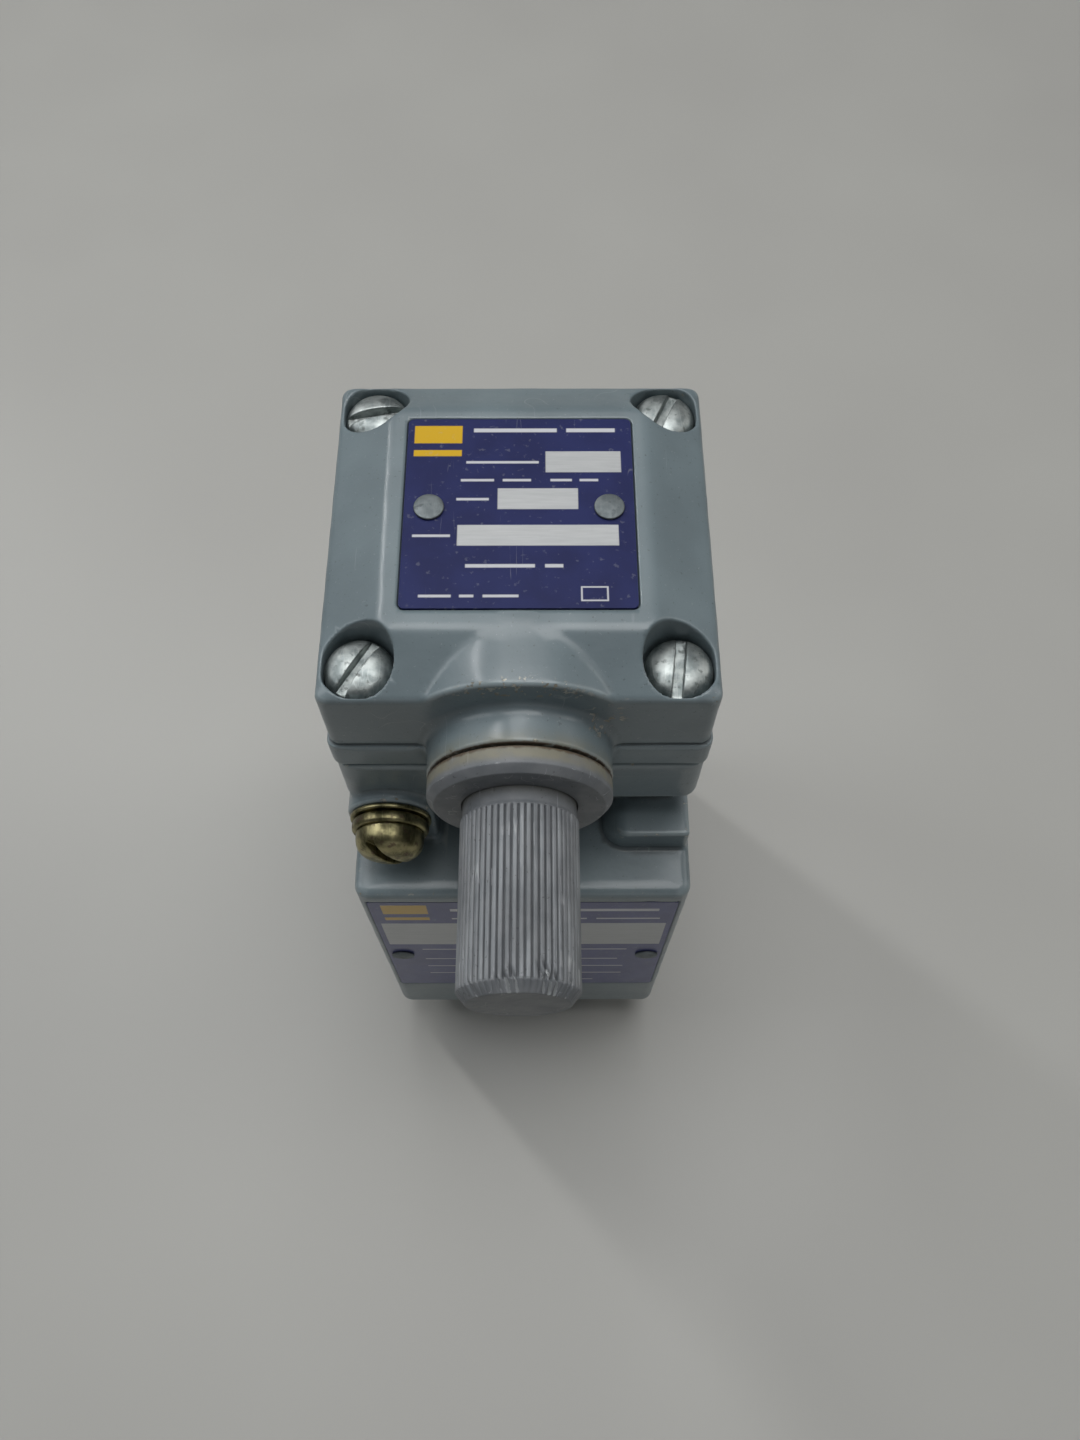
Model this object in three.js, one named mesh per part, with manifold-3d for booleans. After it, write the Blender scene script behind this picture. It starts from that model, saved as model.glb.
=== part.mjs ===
// Heavy-duty rotary limit switch: plug-in switch body with a spring-return operating head,
// a knurled lever shaft and a wiring receptacle with a bottom conduit entry.
// Millimetres, +Z up, shaft towards -Y. The origin is the centre of the bounding box's underside.
import * as THREE from 'three';
import { mergeVertices } from 'three/addons/utils/BufferGeometryUtils.js';
import Module from 'manifold-3d';

const wasm = await Module();
wasm.setup();

// ---- driving dimensions ----
const WIDTH = 40.4;            // head, neck and body share one width
const HALF = WIDTH / 2;
const HEAD_DEPTH = 40;
const FRONT = -7.25;           // front face of the head and neck
const BACK = FRONT + 41.05;    // mounting face of the receptacle
const BODY_FRONT = FRONT - 8.65;
const SHAFT_TIP = FRONT - 26.55;
const SIDES = { left: -1, right: 1 };
const GAP = 0.3;               // clearance between seated castings
const FIT = 0.1;               // clearance between small seated pieces
const FACETS = 36;

// ---- heights ----
const FOOT_TOP = 8.95;
const BODY_BOTTOM = FOOT_TOP + GAP;
const SHOULDER_Z = 65.1;       // top of the front ledge
const PAD_Z = 69.5;            // raised pad behind the ledge
const NECK_BOTTOM = 74.5;
const NECK_TOP = 83.6;
const HEAD_BOTTOM = NECK_TOP + GAP;
const STEP_Z = 88.3;           // casting line round the head
const EDGE_Z = 98;             // outer top edge of the head
const PLATEAU_Z = 101.6;
const AXIS_Z = 88;             // shaft axis

// ---- head ----
const PLATEAU_HALF = 13.5;
const CORNER_R = 1.3;
const STEP_IN = 0.3;
const BARREL_R = 13.8;
const BOSS_R = 9.6;
const BOSS_FLARE = 0.9;         // widening where the boss meets the head
const BOSS_FRONT = FRONT - 3.7;
const BEARING_R = 8.2;
const BEARING_END = FRONT + 9.5;
const HEAD_CAVITY = { half: 10.5, front: FRONT + 9.8, back: FRONT + 33, top: 96.5 };
const SCREW_SPACING = 31.5;
const HEAD_CENTRE_Y = FRONT + HEAD_DEPTH / 2;
const SCREW_SEAT_Z = 95.6;
const SCREW_HEAD_R = 3.55;
const SCREW_HEAD_H = 3.3;
const SCREW_R = 1.75;
const SCREW_CLEARANCE = 0.25;
const SCREW_END_Z = 76;
const COUNTERBORE_R = 3.75;
const PLATE = { half: 11.7, thick: 0.6, y: HEAD_CENTRE_Y + 0.4, seat: 0.05, corner: 0.6 };
const RIVET_R = 1.55;
const RIVET_HOLE_R = 0.8;
const RIVET_STEM_R = 0.7;
const RIVET_STEM = 2.5;
const HEAD_RIVET_X = 9.15;
const HEAD_RIVET_Y = HEAD_CENTRE_Y + 0.6;

// ---- shaft ----
const KNURL_R = 6;
const KNURL_TEETH = 56;
const KNURL_DEPTH = 0.35;
const KNURL_BACK = FRONT - 8.4;
const TIP_CHAMFER = 0.9;
const ROOT_R = 5.8;
const COLLAR_R = 9.5;
const COLLAR_FRONT = FRONT - 6.6;
const COLLAR_BACK = BOSS_FRONT - GAP;
const COLLAR_CHAMFER = 0.7;
const JOURNAL_R = 4.5;
const REAR_JOURNAL_R = 3;
const BUSHING_R = 6.4;
const SEAL_END = FRONT - 1.1;

// ---- cam and plungers ----
const MECH_Y = FRONT + 18;
const CAM = { front: FRONT + 13.5, back: FRONT + 22.5, base: 4.6, lobe: 7.6, square: 6 };
const MUSHROOM = { r: 5.2, top: 80.1, bottom: 78.5 };
const PLUNGER_R = 2.2;
const PLUNGER_BOTTOM = 70;
const SPRING_BOTTOM = 66.4;
const RETURN_SPRING = { radius: 4, wire: 0.5, turns: 5 };
const CONTACT_SPRING = { radius: 1.9, wire: 0.35, turns: 6 };
const PASSAGE_R = 6;
const RECESS = { half: 10, front: FRONT + 12.8, back: FRONT + 31, bottom: 78 };

// ---- switch body ----
const BODY_REAR = FRONT + 23.4;
const BODY_STEP_Y = FRONT + 11.7;
const BODY_STEP_Z = 15.5;
const UPPER_FRONT = FRONT + 2.5;
const EAR_X = -15.2;
const EAR_Z = 71.7;
const EAR_R = 5;
const EAR_FRONT = FRONT - 1.2;
const CAPTIVE = { headR: 3.95, headH: 3.4, turn: 0.55, lockR: 4.45, flatR: 4.7, bore: 1.95 };
const LOCK_WASHER = { front: EAR_FRONT - 2.1, back: EAR_FRONT - 0.65 };
const FLAT_WASHER = { front: EAR_FRONT - 0.6, back: EAR_FRONT - 0.05 };
const BODY_CAVITY = { half: 16.5, front: FRONT - 6, top: 62, bottom: 13, rearBottom: 18 };
const BODY_PLATE = { half: 18.9, bottom: 21.5, top: 62.3, thick: 0.5 };
const BODY_RIVET_X = 16.9;
const BODY_RIVET_Z = 38.6;
const PAD = { left: 9.6, right: HALF - 0.4, front: FRONT - 2.65, shoulder: 3.4, corner: 1.2 };
const LIP_SLOT = { half: 8.3, front: FRONT - 4.3, back: FRONT - 1.7, top: 11.3 };
const LIP = { half: 8, front: FRONT - 4, back: FRONT - 2, top: 11 };
const BLOCK = { half: 15.8, front: FRONT - 5, back: FRONT + 22.8, bottom: 20, top: 60 };
const SLOT = { half: 9, back: FRONT + 21.6, bottom: 26, top: 54 };
const CARRIER = { half: 7, depth: 3, top: 44, bottom: 40 };

// ---- receptacle ----
const RECEPTACLE_FRONT = FRONT + 24.4;
const RECEPTACLE_TOP = NECK_BOTTOM - GAP;
const FOOT_HALF = 16.2;
const FOOT_FRONT = FRONT - 5;
const HUB_TOP = 15;
const CHAMBER = { half: 16.7, back: FRONT + 38, bottom: 12, top: 68.5 };
const CONDUIT = { r: 9.4, y: FRONT + 27, top: 13 };
const MOUNT_HOLE = { r: 2.6, x: 14.7, low: 6.8, high: 66.3, depth: 12 };
const TERMINALS = { half: 15.8, front: FRONT + 25, back: FRONT + 37.7, bottom: 25, top: 62 };
const BLADE = { half: 1.6, thick: 0.4, front: FRONT + 14, back: FRONT + 31 };
const BLADE_PLACES = [[-6.5, 34], [6.5, 34], [-6.5, 50], [6.5, 50]];
const TERMINAL_SCREW_X = 12.1;
const GROUND = { x: -12, z: 18.5, hole: 1.7, headR: 3, headH: 2.2 };
const SLOT_WIDTH = 1.05;
const EAR_HOLE_R = 2.1;
const HEAD_GASKET = { half: 12.8, front: FRONT + 10.4, back: FRONT + 33.4, width: 2, drop: 0.7 };
const BODY_GASKET = { half: 19.4, bottom: 15.6, top: 69.3, width: 2.4 };

const COLOURS = {
  paint: { color: 0x77838a, roughness: 0.42, metalness: 0.1 },
  shaft: { color: 0x8b9097, roughness: 0.55, metalness: 0.3 },
  zinc: { color: 0xb9bdbd, roughness: 0.35, metalness: 1 },
  yellow_zinc: { color: 0xa89a6a, roughness: 0.35, metalness: 1 },
  plate: { color: 0x2a2f66, roughness: 0.45, metalness: 0.2 },
  bronze: { color: 0x9a7140, roughness: 0.4, metalness: 1 },
  rubber: { color: 0x1a1a1a, roughness: 0.85, metalness: 0 },
  phenolic: { color: 0x2a1d18, roughness: 0.6, metalness: 0 },
  steel: { color: 0x9a9da0, roughness: 0.35, metalness: 1 },
  brass: { color: 0xb79a55, roughness: 0.35, metalness: 1 },
  nylon: { color: 0xd8d4c4, roughness: 0.5, metalness: 0 },
  green: { color: 0x2f7d45, roughness: 0.45, metalness: 0.5 },
};

const group = new THREE.Group();

// ---- solid helpers ----
function solid(geometry) {
  geometry.deleteAttribute('normal');
  geometry.deleteAttribute('uv');
  const merged = mergeVertices(geometry, 1e-4);
  return new wasm.Manifold(new wasm.Mesh({
    numProp: 3,
    vertProperties: new Float32Array(merged.attributes.position.array),
    triVerts: new Uint32Array(merged.index.array),
  }));
}

function addMesh(name, shape, colour) {
  const mesh = shape.getMesh();
  const geometry = new THREE.BufferGeometry();
  geometry.setAttribute('position', new THREE.BufferAttribute(new Float32Array(mesh.vertProperties), 3));
  geometry.setIndex(new THREE.BufferAttribute(new Uint32Array(mesh.triVerts), 1));
  geometry.computeVertexNormals();
  const result = new THREE.Mesh(geometry, new THREE.MeshStandardMaterial(COLOURS[colour]));
  result.name = name;
  group.add(result);
}

function box(x0, x1, y0, y1, z0, z1) {
  const geometry = new THREE.BoxGeometry(x1 - x0, y1 - y0, z1 - z0);
  geometry.translate((x0 + x1) / 2, (y0 + y1) / 2, (z0 + z1) / 2);
  return solid(geometry);
}

function roundedShape(u0, u1, v0, v1, r) {
  const shape = new THREE.Shape();
  shape.moveTo(u0 + r, v0);
  shape.lineTo(u1 - r, v0);
  shape.absarc(u1 - r, v0 + r, r, -Math.PI / 2, 0);
  shape.lineTo(u1, v1 - r);
  shape.absarc(u1 - r, v1 - r, r, 0, Math.PI / 2);
  shape.lineTo(u0 + r, v1);
  shape.absarc(u0 + r, v1 - r, r, Math.PI / 2, Math.PI);
  shape.lineTo(u0, v0 + r);
  shape.absarc(u0 + r, v0 + r, r, Math.PI, Math.PI * 1.5);
  return shape;
}

// An outline in X and Y, extruded up from z0 to z1.
function upright(shape, z0, z1, bevel = 0) {
  const geometry = new THREE.ExtrudeGeometry(shape, {
    depth: z1 - z0 - 2 * bevel,
    bevelEnabled: bevel > 0,
    bevelThickness: bevel,
    bevelSize: bevel,
    bevelOffset: -bevel,
    bevelSegments: 2,
    curveSegments: 3,
  });
  geometry.translate(0, 0, z0 + bevel);
  return solid(geometry);
}

// An outline in X and Z, extruded back from y0 to y1.
function facing(shape, y0, y1, bevel = 0) {
  const geometry = new THREE.ExtrudeGeometry(shape, {
    depth: y1 - y0 - 2 * bevel,
    bevelEnabled: bevel > 0,
    bevelThickness: bevel,
    bevelSize: bevel,
    bevelOffset: -bevel,
    bevelSegments: 2,
    curveSegments: 3,
  });
  geometry.translate(0, 0, -(y1 - bevel));
  geometry.rotateX(Math.PI / 2);
  return solid(geometry);
}

function cylinderZ(x, y, r, z0, z1, facets = FACETS) {
  const geometry = new THREE.CylinderGeometry(r, r, z1 - z0, facets);
  geometry.rotateX(Math.PI / 2);
  geometry.translate(x, y, (z0 + z1) / 2);
  return solid(geometry);
}

function cylinderY(x, z, r, y0, y1, facets = FACETS) {
  const geometry = new THREE.CylinderGeometry(r, r, y1 - y0, facets);
  geometry.translate(x, (y0 + y1) / 2, z);
  return solid(geometry);
}

function ringY(x, z, outer, inner, y0, y1) {
  return cylinderY(x, z, outer, y0, y1).subtract(cylinderY(x, z, inner, y0 - 1, y1 + 1));
}

// A profile of [radius, y] pairs turned about an axis along Y.
function turnedY(profile, x, z, facets = FACETS) {
  const points = profile.map(([r, y]) => new THREE.Vector2(r, y));
  const geometry = new THREE.LatheGeometry(points, facets);
  geometry.translate(x, 0, z);
  return solid(geometry);
}

function helixZ(x, y, radius, wire, z0, z1, turns) {
  const stepsPerTurn = 12;
  const points = [];
  for (let i = 0; i <= turns * stepsPerTurn; i++) {
    const t = i / (turns * stepsPerTurn);
    const angle = t * turns * 2 * Math.PI;
    const z = z0 + wire + t * (z1 - z0 - 2 * wire);
    points.push(new THREE.Vector3(x + radius * Math.cos(angle), y + radius * Math.sin(angle), z));
  }
  const section = new THREE.Shape();
  section.absarc(0, 0, wire, 0, 2 * Math.PI);
  return solid(new THREE.ExtrudeGeometry(section, {
    steps: turns * stepsPerTurn,
    extrudePath: new THREE.CatmullRomCurve3(points),
    curveSegments: 3,
  }));
}

function headScrewPlaces() {
  const reach = SCREW_SPACING / 2;
  return [[-1, -1], [1, -1], [-1, 1], [1, 1]].map(([sx, sy]) => [sx * reach, HEAD_CENTRE_Y + sy * reach]);
}

// ---- operating head ----
function headHousing() {
  const back = FRONT + HEAD_DEPTH;
  const skirt = upright(roundedShape(-HALF, HALF, FRONT, back, CORNER_R), HEAD_BOTTOM, STEP_Z);
  const inner = roundedShape(-HALF + STEP_IN, HALF - STEP_IN, FRONT + STEP_IN, back - STEP_IN, CORNER_R);
  const upper = upright(inner, STEP_Z - 1, EDGE_Z);
  const hip = new THREE.CylinderGeometry(
    PLATEAU_HALF * Math.SQRT2, (HALF - STEP_IN) * Math.SQRT2, PLATEAU_Z - EDGE_Z, 4, 1);
  hip.rotateY(Math.PI / 4);
  hip.rotateX(Math.PI / 2);
  hip.translate(0, HEAD_CENTRE_Y, (PLATEAU_Z + EDGE_Z) / 2);
  const outline = upright(inner, EDGE_Z - 1, PLATEAU_Z + 1);
  const roof = solid(hip).intersect(outline);
  const bulge = cylinderY(0, AXIS_Z, BARREL_R, FRONT + STEP_IN, FRONT + 12, 60)
    .intersect(box(-HALF, HALF, FRONT - 1, FRONT + 13, HEAD_BOTTOM, PLATEAU_Z + 0.2));
  const bearing = cylinderY(0, AXIS_Z, BEARING_R, FRONT - 1, BEARING_END);
  const boss = turnedY([
    [0, BOSS_FRONT],
    [BOSS_R, BOSS_FRONT],
    [BOSS_R, FRONT - 1.2],
    [BOSS_R + 0.4, FRONT - 0.5],
    [BOSS_R + BOSS_FLARE, FRONT - 0.3],
    [0, FRONT - 0.3],
  ], 0, AXIS_Z);
  const bossRoot = cylinderY(0, AXIS_Z, BOSS_R + BOSS_FLARE, FRONT - 0.4, FRONT + 1)
    .intersect(box(-HALF, HALF, FRONT - 2, FRONT + 2, HEAD_BOTTOM, EDGE_Z));
  let housing = skirt.add(upper).add(roof).add(bulge).add(bearing).add(boss).add(bossRoot);
  const cavity = HEAD_CAVITY;
  housing = housing
    .subtract(box(-cavity.half, cavity.half, cavity.front, cavity.back, NECK_TOP - 5, cavity.top))
    .subtract(cylinderY(0, AXIS_Z, BUSHING_R + FIT, BOSS_FRONT - 1, cavity.front + 1))
    .subtract(cylinderY(0, AXIS_Z, REAR_JOURNAL_R + FIT, cavity.back - 1, cavity.back + 4.3))
    .subtract(plateRecess());
  for (const side of [-1, 1]) {
    housing = housing.subtract(
      cylinderZ(side * HEAD_RIVET_X, HEAD_RIVET_Y, RIVET_HOLE_R, PLATEAU_Z - RIVET_STEM - FIT, PLATEAU_Z, 16));
  }
  for (const [x, y] of headScrewPlaces()) {
    housing = housing
      .subtract(cylinderZ(x, y, COUNTERBORE_R, SCREW_SEAT_Z, PLATEAU_Z + 1))
      .subtract(cylinderZ(x, y, SCREW_R + SCREW_CLEARANCE, HEAD_BOTTOM - 1, SCREW_SEAT_Z + 1, 24));
  }
  addMesh('head_housing', housing, 'paint');
}

function plateRecess() {
  const reach = PLATE.half + FIT;
  const outline = roundedShape(-reach, reach, PLATE.y - reach, PLATE.y + reach, PLATE.corner + FIT);
  return upright(outline, PLATEAU_Z - PLATE.thick, PLATEAU_Z + 1);
}

function headPlate() {
  const y = HEAD_RIVET_Y;
  const z0 = PLATEAU_Z - PLATE.thick + PLATE.seat;
  const outline = roundedShape(-PLATE.half, PLATE.half, PLATE.y - PLATE.half, PLATE.y + PLATE.half, PLATE.corner);
  let plate = upright(outline, z0, PLATEAU_Z);
  for (const side of [-1, 1]) {
    plate = plate.subtract(cylinderZ(side * HEAD_RIVET_X, y, RIVET_HOLE_R, z0 - 1, PLATEAU_Z + 1, 16));
  }
  addMesh('head_nameplate', plate, 'plate');
  for (const [name, side] of Object.entries(SIDES)) {
    const x = side * HEAD_RIVET_X;
    const head = cylinderZ(x, y, RIVET_R, PLATEAU_Z + PLATE.seat, PLATEAU_Z + 0.5, 24);
    const stem = cylinderZ(x, y, RIVET_STEM_R, PLATEAU_Z - RIVET_STEM, PLATEAU_Z + 0.3, 16);
    addMesh(`head_plate_rivet_${name}`, head.add(stem), 'zinc');
  }
}

// A round-topped slotted screw whose head points up, with its seat at z.
function slottedScrewZ(x, y, seat, headR, headH, shankR, end, turn) {
  const profile = [[0, seat + 0.05], [headR, seat + 0.05]];
  const rim = headH * 0.5;
  for (let i = 0; i <= 6; i++) {
    const a = (i / 6) * Math.PI / 2;
    const r = i === 6 ? 0 : headR * Math.cos(a);
    profile.push([r, seat + rim + (headH - rim) * Math.sin(a)]);
  }
  const head = solid(new THREE.LatheGeometry(profile.map(([r, h]) => new THREE.Vector2(r, h)), 28).rotateX(Math.PI / 2));
  const slot = new THREE.BoxGeometry(headR * 2.4, SLOT_WIDTH, headH * 0.45 * 2);
  slot.rotateZ(turn);
  slot.translate(0, 0, seat + headH);
  const shank = cylinderZ(0, 0, shankR, end, seat + 0.5, 24);
  return head.add(shank).subtract(solid(slot)).translate(x, y, 0);
}

function headScrews() {
  const turns = [1.05, 1.45, 0.2, 1.15];
  headScrewPlaces().forEach(([x, y], i) => {
    const screw = slottedScrewZ(x, y, SCREW_SEAT_Z, SCREW_HEAD_R, SCREW_HEAD_H, SCREW_R, SCREW_END_Z, turns[i]);
    addMesh(`head_screw_${i + 1}`, screw, 'zinc');
  });
}

// ---- shaft, collar, bearing and cam ----
function knurledSection() {
  const shape = new THREE.Shape();
  for (let i = 0; i < KNURL_TEETH; i++) {
    const points = [[-0.5, KNURL_R - KNURL_DEPTH], [0, KNURL_R]];
    points.forEach(([offset, r], j) => {
      const angle = ((i + offset) / KNURL_TEETH) * 2 * Math.PI;
      const x = r * Math.cos(angle);
      const y = r * Math.sin(angle);
      if (i === 0 && j === 0) {
        shape.moveTo(x, y);
      } else {
        shape.lineTo(x, y);
      }
    });
  }
  return shape;
}

function operatingShaft() {
  const end = FRONT + 37;
  const knurl = facing(knurledSection(), SHAFT_TIP, KNURL_BACK + 0.2).translate(0, 0, AXIS_Z);
  const envelope = turnedY([
    [0, SHAFT_TIP],
    [KNURL_R - TIP_CHAMFER, SHAFT_TIP],
    [KNURL_R + 0.05, SHAFT_TIP + TIP_CHAMFER * 1.2],
    [KNURL_R + 0.05, KNURL_BACK - 0.3],
    [KNURL_R - 0.4, KNURL_BACK + 0.3],
    [0, KNURL_BACK + 0.3],
  ], 0, AXIS_Z, KNURL_TEETH);
  const spindle = turnedY([
    [0, KNURL_BACK - 1],
    [ROOT_R - 0.2, KNURL_BACK - 1],
    [ROOT_R, KNURL_BACK],
    [ROOT_R, COLLAR_BACK],
    [JOURNAL_R, COLLAR_BACK],
    [JOURNAL_R, BEARING_END],
    [3.9, BEARING_END],
    [3.9, CAM.front - FIT],
    [REAR_JOURNAL_R, CAM.front - FIT],
    [REAR_JOURNAL_R, end],
    [0, end],
  ], 0, AXIS_Z);
  const side = CAM.square / 2;
  const square = box(-side, side, CAM.front - 0.5, CAM.back + 0.3, AXIS_Z - side, AXIS_Z + side);
  addMesh('operating_shaft', knurl.intersect(envelope).add(spindle).add(square), 'shaft');
  addMesh('shaft_collar', turnedY([
    [ROOT_R + FIT, COLLAR_FRONT],
    [COLLAR_R - COLLAR_CHAMFER, COLLAR_FRONT],
    [COLLAR_R, COLLAR_FRONT + COLLAR_CHAMFER],
    [COLLAR_R, COLLAR_BACK],
    [ROOT_R + FIT, COLLAR_BACK],
    [ROOT_R + FIT, COLLAR_FRONT],
  ], 0, AXIS_Z, 48), 'shaft');
  addMesh('shaft_seal', ringY(0, AXIS_Z, BUSHING_R, JOURNAL_R + FIT, BOSS_FRONT + 0.4, SEAL_END), 'rubber');
  addMesh('shaft_bushing', ringY(0, AXIS_Z, BUSHING_R, JOURNAL_R + 0.07, SEAL_END + FIT, BEARING_END - FIT), 'bronze');
  addMesh('shaft_clip', ringY(0, AXIS_Z, 5.4, REAR_JOURNAL_R + 0.05, CAM.back + 0.8, CAM.back + 1.7), 'steel');
}

// Heart-shaped cam: flat base side down at rest, a lobe to either side.
function operatingCam() {
  const shape = new THREE.Shape();
  const steps = 48;
  for (let i = 0; i < steps; i++) {
    const angle = -Math.PI / 2 + (i / steps) * 2 * Math.PI;
    const spread = Math.abs(Math.sin((angle + Math.PI / 2) / 2));
    const r = CAM.base + (CAM.lobe - CAM.base) * Math.min(1, spread * 1.5);
    if (i === 0) {
      shape.moveTo(r * Math.cos(angle), r * Math.sin(angle));
    } else {
      shape.lineTo(r * Math.cos(angle), r * Math.sin(angle));
    }
  }
  const hole = CAM.square / 2 + FIT;
  const cam = facing(shape, CAM.front, CAM.back).translate(0, 0, AXIS_Z)
    .subtract(box(-hole, hole, CAM.front - 1, CAM.back + 1, AXIS_Z - hole, AXIS_Z + hole));
  addMesh('operating_cam', cam, 'steel');
}

function headPlunger() {
  const cap = cylinderZ(0, MECH_Y, MUSHROOM.r, MUSHROOM.bottom, MUSHROOM.top, 36);
  const rod = cylinderZ(0, MECH_Y, PLUNGER_R, PLUNGER_BOTTOM, MUSHROOM.bottom + 0.5, 24);
  addMesh('head_plunger', cap.add(rod), 'steel');
  const { radius, wire, turns } = RETURN_SPRING;
  addMesh('return_spring', helixZ(0, MECH_Y, radius, wire, SPRING_BOTTOM, MUSHROOM.bottom - FIT, turns), 'steel');
}

function headGasket() {
  addMesh('head_gasket', gasketRing(0, NECK_TOP - HEAD_GASKET.drop, NECK_TOP + FIT), 'rubber');
}

function switchBody() {
  const frontOutline = roundedShape(-HALF, HALF, BODY_FRONT, BODY_STEP_Y, 1.6);
  const front = upright(frontOutline, BODY_BOTTOM, SHOULDER_Z, 1.1);
  const rear = box(-HALF, HALF, UPPER_FRONT, BODY_REAR, BODY_STEP_Z, SHOULDER_Z);
  const column = box(-HALF + 2, HALF - 2, UPPER_FRONT, BODY_REAR, SHOULDER_Z - 1, NECK_BOTTOM + 0.5);
  const neck = upright(roundedShape(-HALF, HALF, FRONT, FRONT + HEAD_DEPTH, 2), NECK_BOTTOM, NECK_TOP, 0.35);
  const pad = facing(padShape(), PAD.front, UPPER_FRONT + 1, 0.5);
  const ear = cylinderY(EAR_X, EAR_Z, EAR_R, EAR_FRONT, UPPER_FRONT + 1)
    .add(box(EAR_X - EAR_R, EAR_X + EAR_R, EAR_FRONT, UPPER_FRONT + 1, SHOULDER_Z - 1, EAR_Z));
  const earRear = box(-HALF, EAR_X + EAR_R, UPPER_FRONT, BODY_REAR, SHOULDER_Z - 1, NECK_BOTTOM + 0.5);
  let body = front.add(rear).add(column).add(neck).add(pad).add(ear).add(earRear);
  const cavity = BODY_CAVITY;
  const recess = RECESS;
  const plate = BODY_PLATE;
  body = body
    .subtract(box(-cavity.half, cavity.half, cavity.front, BODY_STEP_Y - 1, cavity.bottom, cavity.top))
    .subtract(box(-cavity.half, cavity.half, BODY_STEP_Y - 2, BODY_REAR + 1, cavity.rearBottom, cavity.top))
    .subtract(cylinderZ(0, MECH_Y, PASSAGE_R, 66, NECK_TOP))
    .subtract(cylinderZ(0, MECH_Y, 2.6, cavity.top - 1, 67, 24))
    .subtract(box(-recess.half, recess.half, recess.front, recess.back, recess.bottom, NECK_TOP + 1))
    .subtract(cylinderY(0, AXIS_Z, BEARING_R + GAP, FRONT - 1, BEARING_END + GAP))
    .subtract(gasketRing(FIT, NECK_TOP - HEAD_GASKET.drop - FIT, NECK_TOP + 0.5))
    .subtract(cylinderY(EAR_X, EAR_Z, EAR_HOLE_R, EAR_FRONT - 1, BODY_REAR + 1, 24))
    .subtract(box(-plate.half - FIT, plate.half + FIT, BODY_FRONT - 1, BODY_FRONT + plate.thick,
      plate.bottom - FIT, plate.top + FIT))
    .subtract(box(-LIP_SLOT.half, LIP_SLOT.half, LIP_SLOT.front, LIP_SLOT.back, BODY_BOTTOM - 1, LIP_SLOT.top));
  for (const side of [-1, 1]) {
    body = body.subtract(
      cylinderY(side * BODY_RIVET_X, BODY_RIVET_Z, RIVET_HOLE_R, BODY_FRONT - 1, BODY_FRONT + RIVET_STEM, 16));
  }
  for (const [x, y] of headScrewPlaces()) {
    body = body.subtract(cylinderZ(x, y, SCREW_R + 0.15, SCREW_END_Z - 0.4, NECK_TOP + 1, 24));
  }
  addMesh('switch_body', body, 'paint');
}

function padShape() {
  const { left, right, shoulder, corner } = PAD;
  const bottom = SHOULDER_Z - 6;
  const shape = new THREE.Shape();
  shape.moveTo(left, bottom);
  shape.lineTo(right, bottom);
  shape.lineTo(right, PAD_Z - corner);
  shape.absarc(right - corner, PAD_Z - corner, corner, 0, Math.PI / 2);
  shape.lineTo(left + shoulder, PAD_Z);
  shape.absarc(left + shoulder, PAD_Z - shoulder, shoulder, Math.PI / 2, Math.PI);
  return shape;
}

// A rectangular ring standing on its z faces; grow widens its section on every side.
function gasketRing(grow, z0, z1) {
  const { half, front, back, width } = HEAD_GASKET;
  const outer = box(-half - grow, half + grow, front - grow, back + grow, z0, z1);
  const wall = width + grow;
  return outer.subtract(box(-half + wall, half - wall, front + wall, back - wall, z0 - 1, z1 + 1));
}

function bodyPlate() {
  const p = BODY_PLATE;
  const outline = roundedShape(-p.half, p.half, p.bottom, p.top, 0.6);
  let plate = facing(outline, BODY_FRONT + 0.05, BODY_FRONT + p.thick - 0.05);
  for (const side of [-1, 1]) {
    plate = plate.subtract(cylinderY(side * BODY_RIVET_X, BODY_RIVET_Z, RIVET_HOLE_R, BODY_FRONT - 1, BODY_FRONT + 1, 16));
  }
  addMesh('body_nameplate', plate, 'plate');
  for (const [name, side] of Object.entries(SIDES)) {
    const x = side * BODY_RIVET_X;
    const head = cylinderY(x, BODY_RIVET_Z, RIVET_R, BODY_FRONT - 0.45, BODY_FRONT, 24);
    const stem = cylinderY(x, BODY_RIVET_Z, RIVET_STEM_R, BODY_FRONT - 0.2, BODY_FRONT + RIVET_STEM - FIT, 16);
    addMesh(`body_plate_rivet_${name}`, head.add(stem), 'zinc');
  }
}

// ---- contacts inside the switch body ----
function contactBlock() {
  let block = box(-BLOCK.half, BLOCK.half, BLOCK.front, BLOCK.back, BLOCK.bottom, BLOCK.top)
    .subtract(box(-SLOT.half, SLOT.half, BLOCK.front - 1, SLOT.back, SLOT.bottom, SLOT.top))
    .subtract(cylinderZ(0, MECH_Y, 2.4, SLOT.top - 1, BLOCK.top + 1, 24));
  for (const [x, z] of BLADE_PLACES) {
    block = block.subtract(bladeBox(x, z, FIT));
  }
  addMesh('contact_block', block, 'phenolic');
}

function bladeBox(x, z, grow) {
  const { half, thick, front, back } = BLADE;
  return box(x - half - grow, x + half + grow, front - grow, back + grow, z - thick - grow, z + thick + grow);
}

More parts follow.
